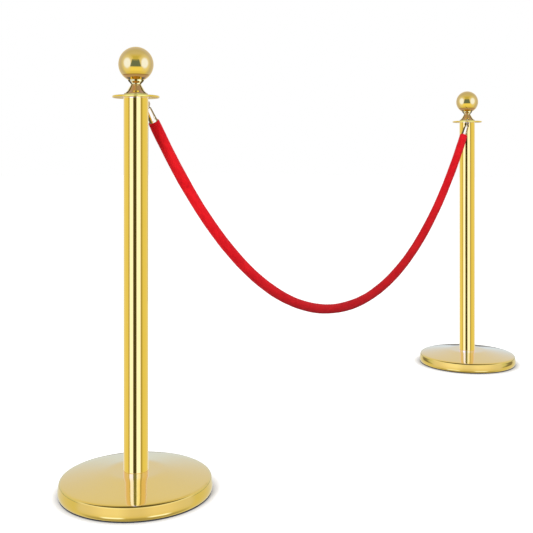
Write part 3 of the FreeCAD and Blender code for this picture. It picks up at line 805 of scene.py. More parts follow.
def rope_cover():
    rings, segs = 1180, 60
    verts, faces, uvs = [], [], []
    side = E.cross(Vector((0, 0, 1))).normalized()

    def radius(l, a):
        """Radius in mm at arc length l (m from the middle) and angle a (0 is up)."""
        p = Vector((l * 1000, math.cos(a) * 12, math.sin(a) * 12))
        lump = noise.noise(p * 0.012) * 0.55 + noise.noise(p * 0.035 + Vector((7, 3, 1))) * 0.32
        fine = noise.noise(p * 0.16 + Vector((1, 9, 4))) * 0.14 + noise.noise(p * 0.42) * 0.07
        # the sleeve gathers a little on the inside of the bend
        curve = 1.0 / math.cosh(l / 0.45) ** 2
        inside = max(0.0, math.cos(a)) ** 1.5
        fold = math.sin(l * 1000 / 1.75 + 2.2 * noise.noise(Vector((l * 22, 0.3, 0)))) * 0.16 * inside * (0.35 + 0.65 * curve)
        # sewn seam along the back of the underside
        d = (a - math.radians(215) + math.pi) % (2 * math.pi) - math.pi
        seam = -0.75 * math.exp(-(d / 0.06) ** 2) + 0.30 * math.exp(-((abs(d) - 0.16) / 0.06) ** 2)
        pinch = 0.10 * math.exp(-(d / 0.10) ** 2) * math.cos(l * 1000 * 2 * math.pi / 4.2)
        return ROPE_R + lump + fine + fold + seam + pinch - 0.25

    idx = []
    ends = 8
    stations = []
    for i in range(ends):                       # rounded, turned-in end
        t = math.pi / 2 * i / (ends - 1)
        stations.append((-L_END + 1.6 * MM * (1 - math.sin(t)) + 0.05 * MM, -1.6 * (1 - math.cos(math.pi / 2 - t))))
    body_l = np.linspace(-L_END + 2.2 * MM, L_END - 2.2 * MM, rings)
    front = [(-L_END + 0.05 * MM + 1.6 * MM * (1 - math.cos(t)), -1.6 * (1 - math.sin(t))) for t in np.linspace(0, math.pi / 2, ends)]
    back = [(-l, d) for l, d in reversed(front)]
    rows = [(l, d) for l, d in front] + [(l, 0.0) for l in body_l] + [(l, d) for l, d in back]
    for l, d in rows:
        s = CAT_A * math.asinh(l / CAT_A)
        c, t, up = rope_frame(s)
        row = []
        tuck = 1.0 - min(1.0, (L_END - abs(l)) / (14 * MM))       # bound in towards the ferrule
        for j in range(segs):
            a = 2 * math.pi * j / segs
            r = (radius(l, a) * (1 - 0.25 * tuck) + (ROPE_R - 0.35) * 0.25 * tuck + d - 0.45 * tuck) * MM
            v = c + (up * math.cos(a) + side * math.sin(a)) * r
            row.append(len(verts))
            verts.append(v)
            uvs.append((l, a * 0.0127))
        idx.append(row)
    for a, b in zip(idx[:-1], idx[1:]):
        for j in range(segs):
            k = (j + 1) % segs
            faces.append((a[j], a[k], b[k], b[j]))
    # turned-in ends: the sleeve folds in to the ferrule's lip
    for row, sgn in ((idx[0], 1), (idx[-1], -1)):
        prev = row
        l = rows[0][0] if sgn > 0 else rows[-1][0]
        for rr, dl in ((10.6, 0.05), (9.9, 0.10), (9.0, 0.35), (8.6, 1.2), (8.6, 6.0)):
            ll = l + sgn * dl * MM
            s = CAT_A * math.asinh(ll / CAT_A)
            c, t, up = rope_frame(s)
            new = []
            for j in range(segs):
                a = 2 * math.pi * j / segs
                w = 0.12 * noise.noise(Vector((math.cos(a) * 4, math.sin(a) * 4, rr)))
                new.append(len(verts))
                verts.append(c + (up * math.cos(a) + side * math.sin(a)) * (rr + w) * MM)
                uvs.append((ll, a * 0.0127))
            for j in range(segs):
                k = (j + 1) % segs
                faces.append((prev[j], prev[k], new[k], new[j]))
            prev = new
        centre = len(verts)
        verts.append(c)
        uvs.append((ll, 0))
        for j in range(segs):
            faces.append((prev[j], prev[(j + 1) % segs], centre))
    ob = new_object("rope_velvet", verts, faces)
    finish_normals(ob)
    # a UV in metres along and round the sleeve, for the nap
    me = ob.data
    uv = me.uv_layers.new(name="nap")
    co = np.array(uvs)
    loops = np.zeros(len(me.loops), np.int32)
    me.loops.foreach_get("vertex_index", loops)
    span = 2 * math.pi * 0.0127
    u = co[loops].copy()
    starts = np.zeros(len(me.polygons), np.int32)
    totals = np.zeros(len(me.polygons), np.int32)
    me.polygons.foreach_get("loop_start", starts)
    me.polygons.foreach_get("loop_total", totals)
    for st, n in zip(starts, totals):
        v = u[st:st + n, 1]
        if v.max() - v.min() > span / 2:
            v[v < span / 2] += span
    uv.data.foreach_set("uv", u.astype(np.float32).ravel())
    me.polygons.foreach_set("use_smooth", [True] * len(me.polygons))
    return ob


rope = rope_cover()
dress(rope, "velvet", "red_velvet", "rope", "rope_cover")


def seam_stitches():
    """Small thread stitches that close the sleeve's seam, and a row round each end."""
    verts, faces = [], []
    side = E.cross(Vector((0, 0, 1))).normalized()

    def bar(p, d, nrm, length, r):
        d = d.normalized()
        b = d.cross(nrm).normalized()
        n = b.cross(d).normalized()
        rows = []
        for i in range(5):
            t = i / 4 - 0.5
            lift = 1 - (2 * t) ** 2
            rr = r * (0.45 + 0.55 * math.sqrt(max(0.0, 1 - (2 * t) ** 4)))
            c = p + d * (t * length) + n * (r * 0.9 * lift - r * 0.35)
            row = []
            for j in range(6):
                a = 2 * math.pi * j / 6
                row.append(len(verts))
                verts.append(c + (b * math.cos(a) + n * math.sin(a)) * rr)
            rows.append(row)
        for a, b2 in zip(rows[:-1], rows[1:]):
            for j in range(6):
                k = (j + 1) % 6
                faces.append((a[j], a[k], b2[k], b2[j]))
        faces.append(tuple(reversed(rows[0])))
        faces.append(tuple(rows[-1]))

    a = math.radians(215)
    l = -L_END + 6 * MM
    while l < L_END - 6 * MM:
        s = CAT_A * math.asinh(l / CAT_A)
        c, t, up = rope_frame(s)
        n = up * math.cos(a) + side * math.sin(a)
        q = t.cross(n).normalized()
        bar(c + n * (ROPE_R - 0.72) * MM, (t * 0.55 + q).normalized(), n, 2.2 * MM, 0.22 * MM)
        l += 4.2 * MM
    for sgn in (-1, 1):
        for i in range(26):
            a2 = 2 * math.pi * (i + 0.5) / 26
            l2 = sgn * (L_END - 5.0 * MM)
            s = CAT_A * math.asinh(l2 / CAT_A)
            c, t, up = rope_frame(s)
            n = up * math.cos(a2) + side * math.sin(a2)
            q = t.cross(n).normalized()
            bar(c + n * (ROPE_R - 0.55) * MM, q, n, 1.9 * MM, 0.24 * MM)
    ob = new_object("rope_stitches", verts, faces)
    finish_normals(ob)
    shade(ob, 70)
    return ob


stitches = seam_stitches()
dress(stitches, "thread", "red_velvet", "rope")

# ------------------------------------------------- CAD nodes that stay as they are
KEEP = {
    "base_weight": "concrete", "tube_foot_plug": "steel", "tube_top_plug": "steel",
    "finial_washer": "nylon", "finial_ball_nut": "steel", "gate_pin": "steel", "gate_spring": "spring",
}
for name, ob in frame["nodes"].items():
    key = name.split("_", 1)[1] if name.split("_", 1)[0] in ("left", "right") else name
    mat = "cotton" if name == "rope_core" else KEEP.get(key)
    if mat:
        ob.data.materials.clear()
        ob.data.materials.append(MAT[mat])
        shade(ob, 35)

for ob in list(bpy.context.scene.objects):
    if ob.type == "MESH" and any(k in ob.name for k in ("base_shell", "foot_ring", "base_rod", "base_nut", "base_washer", "base_weight", "base_cover", "base_edge", "rope_velvet", "rope_stitches", "finial_ball", "ring_plate", "rope_ring")):
        ob.visible_glossy = False

# ---------------------------------------------------------------------- the stage
CAM = Vector((-1.905, -1.337, 0.680))
VIEW = Vector((0.7649, 0.6441, 0.0)).normalized()
RIGHT = Vector((VIEW.y, -VIEW.x, 0.0))
cam_data = bpy.data.cameras.new("camera")
cam = bpy.data.objects.new("camera", cam_data)
bpy.context.scene.collection.objects.link(cam)
bpy.context.scene.camera = cam
cam_data.sensor_width = 36.0
cam_data.lens = 853.0 / 533.0 * 36.0
cam_data.clip_end = 200
cam.location = CAM
cam.rotation_euler = VIEW.to_track_quat("-Z", "Y").to_euler()

floor_mat = Mat("floor")
fm = floor_mat
fn = fm.noise(fm.coords((3, 3, 3)), 1.0, 3.0, 0.5)
# painted contact shadow: ambient occlusion greys the floor's colour and cuts its glow near the base; elsewhere the glow
# keeps the floor evenly white
ao = fm.node("ShaderNodeAmbientOcclusion", {"Distance": 0.028}, samples=12).outputs["AO"]
contact_shadow = fm.math("POWER", ao, 1.5)
shadowed_floor_colour = fm.mix(contact_shadow, (0.30, 0.30, 0.31), fm.mix(fn, (0.86, 0.86, 0.86), (0.88, 0.88, 0.88)))
fm.set(Base_Color=shadowed_floor_colour, Roughness=0.9, Specular_IOR_Level=0.0,
       Emission_Color=(1, 1, 1, 1), Emission_Strength=fm.math("MULTIPLY", contact_shadow, 0.50))
bpy.ops.mesh.primitive_grid_add(x_subdivisions=2, y_subdivisions=2, size=60, location=(0, 0, 0))
floor = bpy.context.object
floor.name = "floor"
floor.data.materials.append(floor_mat.m)
floor.visible_glossy = False
floor.visible_diffuse = False


class F:
    """Arithmetic on node sockets."""

    def __init__(self, nt, v):
        self.nt, self.v = nt, v

    def _op(self, op, o=None, p=None, swap=False):
        n = self.nt.nodes.new("ShaderNodeMath")
        n.operation = op
        args = [self, o, p]
        if swap:
            args[0], args[1] = args[1], args[0]
        for i, a in enumerate(args):
            if a is None:
                continue
            if isinstance(a, F):
                self.nt.links.new(a.v, n.inputs[i])
            else:
                n.inputs[i].default_value = a
        return F(self.nt, n.outputs[0])

    def __add__(self, o): return self._op("ADD", o)
    def __radd__(self, o): return self._op("ADD", o)
    def __sub__(self, o): return self._op("SUBTRACT", o)
    def __rsub__(self, o): return self._op("SUBTRACT", o, swap=True)
    def __mul__(self, o): return self._op("MULTIPLY", o)
    def __rmul__(self, o): return self._op("MULTIPLY", o)
    def __truediv__(self, o): return self._op("DIVIDE", o)
    def __lt__(self, o): return self._op("LESS_THAN", o)
    def __gt__(self, o): return self._op("GREATER_THAN", o)
    def abs(self): return self._op("ABSOLUTE")
    def sqrt(self): return self._op("SQRT")

    def ramp(self, lo, hi):
        """0 at lo, 1 at hi, smooth between; lo may be above hi."""
        n = self.nt.nodes.new("ShaderNodeMapRange")
        n.interpolation_type = "SMOOTHSTEP"
        self.nt.links.new(self.v, n.inputs["Value"])
        flip = lo > hi
        n.inputs["From Min"].default_value = min(lo, hi)
        n.inputs["From Max"].default_value = max(lo, hi)
        n.inputs["To Min"].default_value = 1.0 if flip else 0.0
        n.inputs["To Max"].default_value = 0.0 if flip else 1.0
        return F(self.nt, n.outputs["Result"])

    def window(self, a, b, soft):
        return self.ramp(a - soft, a + soft) * self.ramp(b + soft, b - soft)


def colour_steps(nt, fac, lo, hi, stops):
    """A colour that runs through (position, colour) stops along a value."""
    mr = nt.nodes.new("ShaderNodeMapRange")
    nt.links.new(fac.v, mr.inputs["Value"])
    mr.inputs["From Min"].default_value = lo
    mr.inputs["From Max"].default_value = hi
    cr = nt.nodes.new("ShaderNodeValToRGB")
    nt.links.new(mr.outputs["Result"], cr.inputs["Fac"])
    ramp = cr.color_ramp
    while len(ramp.elements) < len(stops):
        ramp.elements.new(0.5)
    peak = max(max(c) if not isinstance(c, (int, float)) else c for _, c in stops)
    for el, (p, c) in zip(ramp.elements, stops):
        el.position = (p - lo) / (hi - lo)
        c = (c, c, c) if isinstance(c, (int, float)) else c
        el.color = (c[0] / peak, c[1] / peak, c[2] / peak, 1)
    vm = nt.nodes.new("ShaderNodeVectorMath")
    vm.operation = "SCALE"
    nt.links.new(cr.outputs["Color"], vm.inputs[0])
    vm.inputs["Scale"].default_value = peak
    return vm.outputs["Vector"]


def blend_colour(nt, fac, a, b):
    n = nt.nodes.new("ShaderNodeMix")
    n.data_type = "RGBA"
    n.clamp_result = False
    if isinstance(fac, F):
        nt.links.new(fac.v, n.inputs[0])
    else:
        n.inputs[0].default_value = fac
    for k, c in ((6, a), (7, b)):
        if isinstance(c, bpy.types.NodeSocket):
            nt.links.new(c, n.inputs[k])
        else:
            n.inputs[k].default_value = (c[0], c[1], c[2], 1)
    return n.outputs[2]


STRIP_HIGHLIGHT = (1.35, 1.62, 6.2)          # painted strip-light highlight, cool so that gold turns it cream white
SIDE = (0.93, 0.94, 1.00)


def reflection_room(side):
    """Painted reflections for one post's polished metal: strip-light highlights, a dark gap at the camera and soft
    windows, painted on a glowing shell round the post that only mirror reflections from that post can see."""
    sgn = -1 if side == "left" else 1
    axis = Vector((sgn * POST_X, 0, 0))
    bpy.ops.mesh.primitive_uv_sphere_add(segments=48, ring_count=24, radius=0.72, location=axis + Vector((0, 0, 0.45)))
    ob = bpy.context.object
    ob.name = "reflection_room_" + side
    m = bpy.data.materials.new(ob.name)
    m.use_nodes = True
    nt = m.node_tree
    nt.nodes.clear()
    geo = nt.nodes.new("ShaderNodeNewGeometry")
    sp, si = nt.nodes.new("ShaderNodeSeparateXYZ"), nt.nodes.new("ShaderNodeSeparateXYZ")
    nt.links.new(geo.outputs["Position"], sp.inputs[0])
    nt.links.new(geo.outputs["Incoming"], si.inputs[0])
    px, py, pz = (F(nt, sp.outputs[i]) for i in range(3))
    ix, iy, iz = (F(nt, si.outputs[i]) for i in range(3))
    # the painted reflections of the studio lights move round with the camera
    where = []
    for channel in ("LOC_X", "LOC_Y", "LOC_Z"):
        value = nt.nodes.new("ShaderNodeValue")
        drive = value.outputs[0].driver_add("default_value").driver
        drive.type = "AVERAGE"
        v = drive.variables.new()
        v.name = "place"
        v.type = "TRANSFORMS"
        v.targets[0].id = cam
        v.targets[0].transform_type = channel
        v.targets[0].transform_space = "WORLD_SPACE"
        where.append(F(nt, value.outputs[0]))
    dx, dy, dz = where[0] - axis.x, where[1] - axis.y, where[2] - 0.879
    dl = (dx * dx + dy * dy + 1e-6).sqrt()
    d3 = (dx * dx + dy * dy + dz * dz + 1e-6).sqrt()
    fx, fy = dx / dl, dy / dl                                    # level, towards the camera
    gx, gy = fy * -1.0, fx                                       # level, to the picture's right
    # where on the post the mirrored ray started
    path = nt.nodes.new("ShaderNodeLightPath")
    run = F(nt, path.outputs["Ray Length"])
    qx, qy = px + ix * run - axis.x, py + iy * run - axis.y
    dist = (qx * qx + qy * qy).sqrt()
    z0 = pz + iz * run
    h2 = ix * ix + iy * iy + 1e-6
    # the ray's own direction
    rx, ry, rz = ix * -1.0, iy * -1.0, iz * -1.0
    hl = h2.sqrt()
    cx = (rx * fx + ry * fy) / hl
    sx = (rx * gx + ry * gy) / hl
    # t of a cylinder seen from the camera: sin of half the turn
    half = ((1.0 - cx) * 0.5 + 1e-6).sqrt()
    tt = half * ((sx > 0.0) * 2.0 - 1.0)
    lat = (qx * gx + qy * gy) / (dist + 1e-5)         # where across the piece the ray started

    tube_env = colour_steps(nt, tt, -1, 1, [
        (-1.0, (0.95, 1.0, 1.15)), (-0.80, (0.92, 0.93, 1.0)), (-0.61, (0.93, 0.93, 0.95)), (-0.585, 0.50), (-0.525, 0.46),
        (-0.485, STRIP_HIGHLIGHT), (-0.245, STRIP_HIGHLIGHT), (-0.205, 0.085), (0.03, 0.085), (0.065, STRIP_HIGHLIGHT), (0.345, STRIP_HIGHLIGHT),
        (0.385, 0.52), (0.475, 0.47), (0.53, 0.86), (0.62, (0.91, 0.93, 0.95)), (0.85, (0.90, 0.92, 1.0)), (1.0, (0.95, 1.0, 1.2))])
    tube_high = colour_steps(nt, tt, -1, 1, [
        (-1.0, (0.95, 1.1, 3.0)), (-0.61, (0.95, 1.2, 6.0)), (-0.585, (0.7, 0.9, 3.5)), (-0.535, (0.7, 0.9, 3.5)),
        (-0.50, (1.3, 2.15, 33.0)), (-0.25, (1.3, 2.15, 33.0)), (-0.20, (0.26, 0.40, 1.6)), (0.03, (0.26, 0.40, 1.6)), (0.07, (1.3, 2.1, 20.0)), (0.345, (1.2, 1.8, 12.0)),
        (0.385, (0.62, 0.8, 3.0)), (0.475, (0.62, 0.8, 3.0)), (0.53, (0.95, 1.2, 6.0)), (1.0, (0.95, 1.1, 3.0))])
    collar_env = colour_steps(nt, tt, -1, 1, [
        (-1.0, (0.66, 0.80, 1.8)), (-0.60, (0.60, 0.74, 1.7)), (-0.50, (0.68, 0.96, 3.2)), (-0.22, (0.74, 1.06, 3.8)), (-0.16, (0.52, 0.60, 1.5)), (0.04, (0.50, 0.58, 1.4)),
        (0.12, (0.74, 1.08, 3.2)), (0.46, (0.62, 0.92, 2.8)), (0.60, (0.60, 0.80, 1.9)), (1.0, (0.66, 0.80, 1.8))])
    tube_env = blend_colour(nt, rz.ramp(0.10, 0.17), tube_env, tube_high)
    neck_env = colour_steps(nt, tt, -1, 1, [
        (-1.0, 0.16), (-0.86, 0.07), (-0.76, 0.08), (-0.66, (1.4, 1.9, 9.0)), (-0.32, (1.4, 1.9, 9.0)), (-0.22, 0.09), (0.06, 0.08),
        (0.14, (1.4, 1.9, 9.0)), (0.56, (1.4, 1.9, 9.0)), (0.66, 0.12), (0.78, 0.07), (1.0, 0.16)])
    hook_env = colour_steps(nt, tt, -1, 1, [
        (-1.0, 0.20), (-0.80, 0.12), (-0.36, 0.10), (-0.24, (1.05, 1.50, 5.0)), (0.00, (1.15, 1.65, 6.0)), (0.52, (1.15, 1.60, 5.5)), (0.64, (0.60, 0.62, 1.2)), (0.82, 0.22), (1.0, 0.30)])
    # the neck's painted reflection: bright outline, a dark line inside it and a dim room on the cone
    cone_env = colour_steps(nt, lat, -1, 1, [
        (-1.0, (0.95, 1.00, 1.10)), (-0.86, (1.05, 1.25, 2.2)), (-0.80, 0.12), (-0.68, 0.13), (-0.60, (0.50, 0.44, 1.15)), (-0.36, (0.47, 0.38, 1.0)),
        (-0.20, (0.58, 0.36, 0.80)), (-0.06, (0.46, 0.42, 0.72)), (0.05, (0.36, 0.31, 0.70)), (0.16, (0.42, 0.38, 1.0)), (0.40, (0.42, 0.36, 1.10)),
        (0.60, (0.46, 0.40, 1.15)), (0.68, 0.13), (0.80, 0.12), (0.86, (1.00, 1.15, 2.0)), (1.0, (0.92, 0.96, 1.05))])
    neck_all = cone_env
    cup_env = colour_steps(nt, lat, -1, 1, [
        (-1.0, 0.12), (-0.80, 0.08), (-0.70, (0.75, 1.05, 5.0)), (-0.24, (0.90, 1.25, 6.0)), (-0.14, 0.11), (0.12, 0.12), (0.22, (0.90, 1.25, 5.0)),
        (0.40, (1.20, 1.75, 8.0)), (0.64, (1.20, 1.70, 7.0)), (0.74, 0.13), (1.0, 0.14)])
    neck_all = blend_colour(nt, z0.window(0.8376, 0.8480, 0.0006), neck_all, cup_env)

    # the ball's painted reflection: tx, ty are the picture position of a reflection on it; windows, a halo, a glow, a
    # dark patch at the middle and the dark line of the ring's edge are painted on it
    ha, hb = dl / d3, dz / d3
    ux, uy = fx * hb * -1.0, fy * hb * -1.0                      # with ha, the picture's up
    nx, ny, nz = rx + fx * ha, ry + fy * ha, rz + hb
    nl = (nx * nx + ny * ny + nz * nz + 1e-6).sqrt()
    tx = (nx * gx + ny * gy) / nl
    ty = (nx * ux + ny * uy + nz * ha) / nl
    rr = (tx * tx + ty * ty).sqrt()
    ball_env = colour_steps(nt, ty, -1, 1, [
        (-1.0, 0.40), (-0.80, 0.52), (-0.60, 0.66), (-0.45, 0.84), (-0.25, 0.90), (0.05, 0.74), (0.30, 0.80), (0.45, 0.70), (0.62, (0.68, 0.72, 1.6)), (0.85, (0.62, 0.66, 1.7)), (1.0, (0.62, 0.68, 1.7))])
    ball_env = blend_colour(nt, rr.ramp(0.66, 0.80), ball_env, (0.62, 0.66, 1.35))
    wx, wy = (tx.abs() - 0.485) / 0.225, (ty - 0.08) / 0.32
    wr = (wx * wx + wy * wy).sqrt()
    win = wr.ramp(1.12, 0.62) * (tx.abs() - 0.27).ramp(0.0, 0.06)
    halo = wr.ramp(1.9, 0.7)
    ball_env = blend_colour(nt, halo * 0.8, ball_env, (0.90, 1.02, 3.0))
    ball_env = blend_colour(nt, win, ball_env, (1.06, 1.42, 7.6))
    glow = (tx + 0.0).abs().ramp(0.50, 0.22) * ty.window(-0.36, -0.14, 0.06)
    ball_env = blend_colour(nt, glow, ball_env, (1.02, 1.04, 1.0))
    # painted reflection: a dark bluish patch at the ball's middle
    dark_patch = (((tx + 0.02).abs() + (ty - 0.24) * 0.30)).ramp(0.235, 0.175) * ty.window(-0.12, 0.29, 0.035)
    ball_env = blend_colour(nt, dark_patch, ball_env, (0.16, 0.25, 0.75))
    # painted reflection: the ring plate's edge as a dark line, with a darker band below it
    low = (ty + tx * tx * 0.10)
    ball_env = blend_colour(nt, low.ramp(-0.515, -0.545), ball_env, (0.50, 0.42, 0.95))
    ball_env = blend_colour(nt, low.window(-0.560, -0.515, 0.015) * 0.85, ball_env, (0.32, 0.22, 0.30))
    top = (tx + 0.02).abs().ramp(0.20, 0.10) * ty.window(0.22, 0.46, 0.05)
    ball_env = blend_colour(nt, top * 0.55, ball_env, (0.52, 0.56, 0.50))

    ball_env = blend_colour(nt, z0.ramp(0.8512, 0.8500), ball_env, (0.12, 0.15, 0.60))
    ball_env = blend_colour(nt, rr.ramp(0.90, 0.98), ball_env, (0.76, 0.73, 0.62))

    # the base's painted reflection: room behind and above from the flat, camera side from the skirt
    el = rz
    fwd = cx * -1.0                                              # 1 away from the camera
    behind = colour_steps(nt, el, -0.2, 1.0, [
        (-0.2, (0.78, 0.80, 0.74)), (-0.10, (0.76, 0.80, 0.78)), (-0.085, (0.26, 0.26, 0.28)), (-0.035, (0.26, 0.27, 0.30)), (0.0, (0.74, 0.86, 1.06)),
        (0.05, (0.73, 0.87, 1.10)), (0.16, (0.74, 0.84, 1.10)), (0.30, (0.77, 0.83, 1.10)),
        (0.45, (0.79, 0.84, 1.15)), (0.62, (0.82, 0.87, 1.25)), (0.86, (0.80, 0.80, 0.9)), (0.95, 0.45), (1.0, 0.12)])
    front_el = colour_steps(nt, el, -1.0, 1.0, [
        (-1.0, 0.45), (-0.66, 0.50), (-0.52, 0.72), (-0.40, (0.90, 0.91, 1.1)), (-0.20, (0.91, 0.93, 1.35)), (0.02, (0.95, 0.97, 1.5)),
        (0.14, (1.05, 1.12, 1.9)), (0.22, (1.10, 1.25, 2.4)), (0.42, (1.05, 1.15, 2.0)), (0.52, 0.14), (1.0, 0.12)])
    skirt_t = colour_steps(nt, tt, -1, 1, [
        (-1.0, 0.90), (-0.75, (0.86, 0.90, 1.0)), (-0.55, (0.94, 0.95, 1.0)), (-0.38, (1.08, 1.10, 1.15)), (-0.22, (1.08, 1.12, 1.15)), (-0.06, (0.92, 0.92, 0.9)), (0.06, (0.90, 0.90, 0.9)),
        (0.22, 1.02), (0.40, 1.0), (0.55, (0.90, 0.92, 0.95)), (0.75, (0.86, 0.90, 1.0)), (1.0, 0.90)])
    mul = nt.nodes.new("ShaderNodeVectorMath")
    mul.operation = "MULTIPLY"
    nt.links.new(front_el, mul.inputs[0])
    nt.links.new(skirt_t, mul.inputs[1])
    # painted highlights near the bottom of the skirt on both sides
    skirt_highlight = tt.abs().window(0.17, 0.44, 0.05) * el.window(-0.60, -0.43, 0.05)
    skirt = blend_colour(nt, skirt_highlight, mul.outputs[0], (1.30, 1.62, 4.2))
    base_env = blend_colour(nt, fwd.ramp(-0.15, 0.15), skirt, behind)

    def gate(dmin, dmax, lo, hi):
        return (dist > dmin) * (dist < dmax) * (z0 > lo) * (z0 < hi)

    # the ring plate's painted reflection: dull room above and below it, brighter round its edge, with painted shade
    # where the ray leaves its underside
    ring_env = colour_steps(nt, rz, -1, 1, [
        (-1.0, (0.66, 0.64, 0.60)), (-0.30, (0.70, 0.68, 0.66)), (-0.03, (0.76, 0.76, 0.76)), (0.0, (0.92, 0.96, 0.95)), (0.20, (0.90, 0.94, 0.93)), (0.45, (0.60, 0.58, 0.56)), (1.0, (0.42, 0.36, 0.34))])
    underside_shade = (dist < 0.0470) * (z0 < 0.8112)
    ring_env = blend_colour(nt, underside_shade, ring_env, (0.60, 0.53, 0.36))
    ring_top = colour_steps(nt, rz, -1, 1, [(-1.0, (0.42, 0.36, 0.30)), (0.0, (0.72, 0.68, 0.60)), (0.35, (0.62, 0.54, 0.42)), (1.0, (0.50, 0.42, 0.32))])
    streak = lat.abs().ramp(0.62, 0.30) * dist.ramp(0.0455, 0.0472)
    streak_col = blend_colour(nt, rz.ramp(0.10, 0.45), (1.02, 1.42, 3.6), (0.62, 0.72, 1.2))
    ring_env = blend_colour(nt, streak, ring_env, streak_col)
    ring_env = blend_colour(nt, lat.window(-0.09, 0.06, 0.04) * streak, ring_env, (0.58, 0.76, 1.6))
    ring_env = blend_colour(nt, (dist < 0.0455) * (z0 > 0.8137), ring_env, ring_top)
    g_tube = gate(-1.0, 0.0262, 0.0452, 0.8098)
    g_ring = gate(-1.0, 0.0500, 0.8098, 0.8142)
    g_collar = gate(0.0060, 0.0262, 0.8142, 0.8183)
    g_neck = gate(0.0060, 0.0262, 0.8183, 0.8466)
    g_hook = gate(0.0264, 0.1200, 0.7300, 0.8098) + gate(0.0264, 0.1200, 0.8142, 0.8450)
    g_ball = gate(-1.0, 0.0368, 0.8466, 0.93)
    g_base = gate(-1.0, 0.1600, -0.01, 0.0452)
    col = blend_colour(nt, g_tube, (0, 0, 0), tube_env)
    col = blend_colour(nt, g_ring, col, ring_env)
    col = blend_colour(nt, g_collar, col, collar_env)
    col = blend_colour(nt, g_hook, col, hook_env)
    col = blend_colour(nt, g_neck, col, neck_all)
    col = blend_colour(nt, g_ball, col, ball_env)
    col = blend_colour(nt, g_base, col, base_env)
    any_part = ((g_tube + g_neck) + (g_ball + g_base) + (g_ring + g_collar) + g_hook) > 0.5
    em = nt.nodes.new("ShaderNodeEmission")
    nt.links.new(col, em.inputs["Color"])
    tr = nt.nodes.new("ShaderNodeBsdfTransparent")
    mx = nt.nodes.new("ShaderNodeMixShader")
    nt.links.new(any_part.v, mx.inputs[0])
    nt.links.new(tr.outputs[0], mx.inputs[1])
    nt.links.new(em.outputs[0], mx.inputs[2])
    o = nt.nodes.new("ShaderNodeOutputMaterial")
    nt.links.new(mx.outputs[0], o.inputs[0])
    m.cycles.emission_sampling = "NONE"
    ob.data.materials.clear()
    ob.data.materials.append(m)
    ob.visible_camera = False
    ob.visible_diffuse = False
    ob.visible_shadow = False
    ob.visible_transmission = False
    ob.visible_volume_scatter = False


reflection_room("left")
reflection_room("right")

world = bpy.data.worlds.new("studio")
bpy.context.scene.world = world
world.use_nodes = True
wn = world.node_tree
wn.nodes.clear()
out = wn.nodes.new("ShaderNodeOutputWorld")
bg = wn.nodes.new("ShaderNodeBackground")
lp = wn.nodes.new("ShaderNodeLightPath")
tc = wn.nodes.new("ShaderNodeTexCoord")
sep = wn.nodes.new("ShaderNodeSeparateXYZ")
ramp = wn.nodes.new("ShaderNodeValToRGB")
mr = wn.nodes.new("ShaderNodeMapRange")
mr.inputs["From Min"].default_value = -1.0
mr.inputs["From Max"].default_value = 1.0
wn.links.new(tc.outputs["Generated"], sep.inputs["Vector"])
wn.links.new(sep.outputs["Z"], mr.inputs["Value"])
wn.links.new(mr.outputs["Result"], ramp.inputs["Fac"])
# what polished metal sees: floor level, horizon, walls, ceiling
stops = [(0.0, (0.62, 0.62, 0.62)), (0.35, (0.84, 0.85, 0.86)), (0.50, (0.86, 0.90, 0.95)), (0.56, (0.87, 0.89, 0.92)),
         (0.68, (0.84, 0.84, 0.83)), (0.82, (0.74, 0.73, 0.71)), (1.0, (0.60, 0.59, 0.57))]
while len(ramp.color_ramp.elements) < len(stops):
    ramp.color_ramp.elements.new(0.5)
for el, (p, c) in zip(ramp.color_ramp.elements, stops):
    el.position = p
    el.color = c + (1,)
mix1 = wn.nodes.new("ShaderNodeMix")
mix1.data_type = "RGBA"
soft = wn.nodes.new("ShaderNodeValToRGB")                  # diffuse light: more from the walls than the ceiling
soft.color_ramp.elements.new(0.5)
soft.color_ramp.elements.new(0.5)
for el, (p, c) in zip(soft.color_ramp.elements, ((0.0, 0.18), (0.40, 0.55), (0.52, 1.0), (1.0, 0.62))):
    el.position = p
    el.color = (c, c, c, 1)
wn.links.new(mr.outputs["Result"], soft.inputs["Fac"])
wn.links.new(soft.outputs["Color"], mix1.inputs[6])
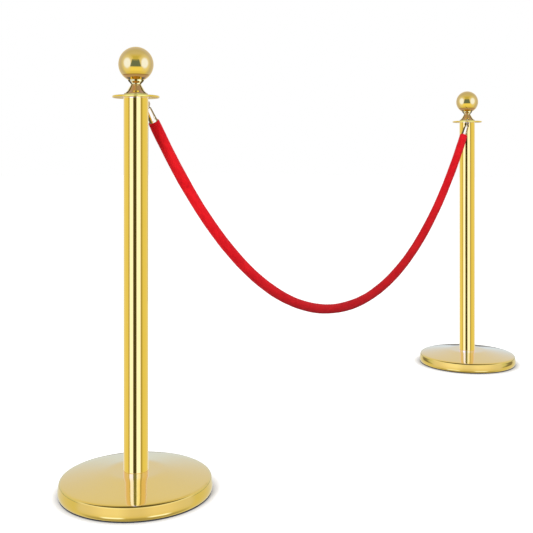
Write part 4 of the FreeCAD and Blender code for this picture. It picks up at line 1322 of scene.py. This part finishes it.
wn.links.new(lp.outputs["Is Glossy Ray"], mix1.inputs[0])
wn.links.new(ramp.outputs["Color"], mix1.inputs[7])
mix2 = wn.nodes.new("ShaderNodeMix")
mix2.data_type = "RGBA"
mix2.inputs[7].default_value = (1.0, 1.0, 1.0, 1)          # plain background
wn.links.new(lp.outputs["Is Camera Ray"], mix2.inputs[0])
wn.links.new(mix1.outputs[2], mix2.inputs[6])
wn.links.new(mix2.outputs[2], bg.inputs["Color"])
wn.links.new(bg.outputs[0], out.inputs["Surface"])


def area(name, loc, target, size, power, color=(1, 1, 1)):
    d = bpy.data.lights.new(name, "AREA")
    d.shape = "RECTANGLE"
    d.size, d.size_y = size
    d.energy = power
    d.color = color
    ob = bpy.data.objects.new(name, d)
    bpy.context.scene.collection.objects.link(ob)
    ob.location = loc
    ob.rotation_euler = (Vector(target) - Vector(loc)).to_track_quat("-Z", "Y").to_euler()
    ob.visible_glossy = False
    ob.visible_camera = False
    return ob


key_light = area("key", CAM - RIGHT * 0.9 + Vector((0, 0, 0.25)), (-0.5, 0.0, 0.55), (0.7, 0.9), 33)
area("fill", (0.4, -2.2, 1.7), (0, 0, 0.4), (1.8, 1.4), 14)

# ------------------------------------------------------------- the camera's frame
# a level camera with a lowered frame, as in the photograph: the shift holds only while the camera
# stands at its own distance from the key light, so round-the-object views are centred
curve = cam_data.driver_add("shift_y")
drv = curve.driver
drv.type = "AVERAGE"
var = drv.variables.new()
var.name = "gap"
var.type = "LOC_DIFF"
var.targets[0].id = cam
var.targets[1].id = key_light
while curve.modifiers:
    curve.modifiers.remove(curve.modifiers[0])
gap = (key_light.location - cam.location).length
curve.keyframe_points.add(4)
for k, (x, y) in zip(curve.keyframe_points, ((gap - 0.10, 0.0), (gap - 0.05, -0.198), (gap + 0.05, -0.198), (gap + 0.10, 0.0))):
    k.co = (x, y)
    k.interpolation = "LINEAR"
curve.extrapolation = "CONSTANT"
curve.update()

bpy.context.scene.view_settings.view_transform = "Standard"
bpy.context.scene.view_settings.look = "None"
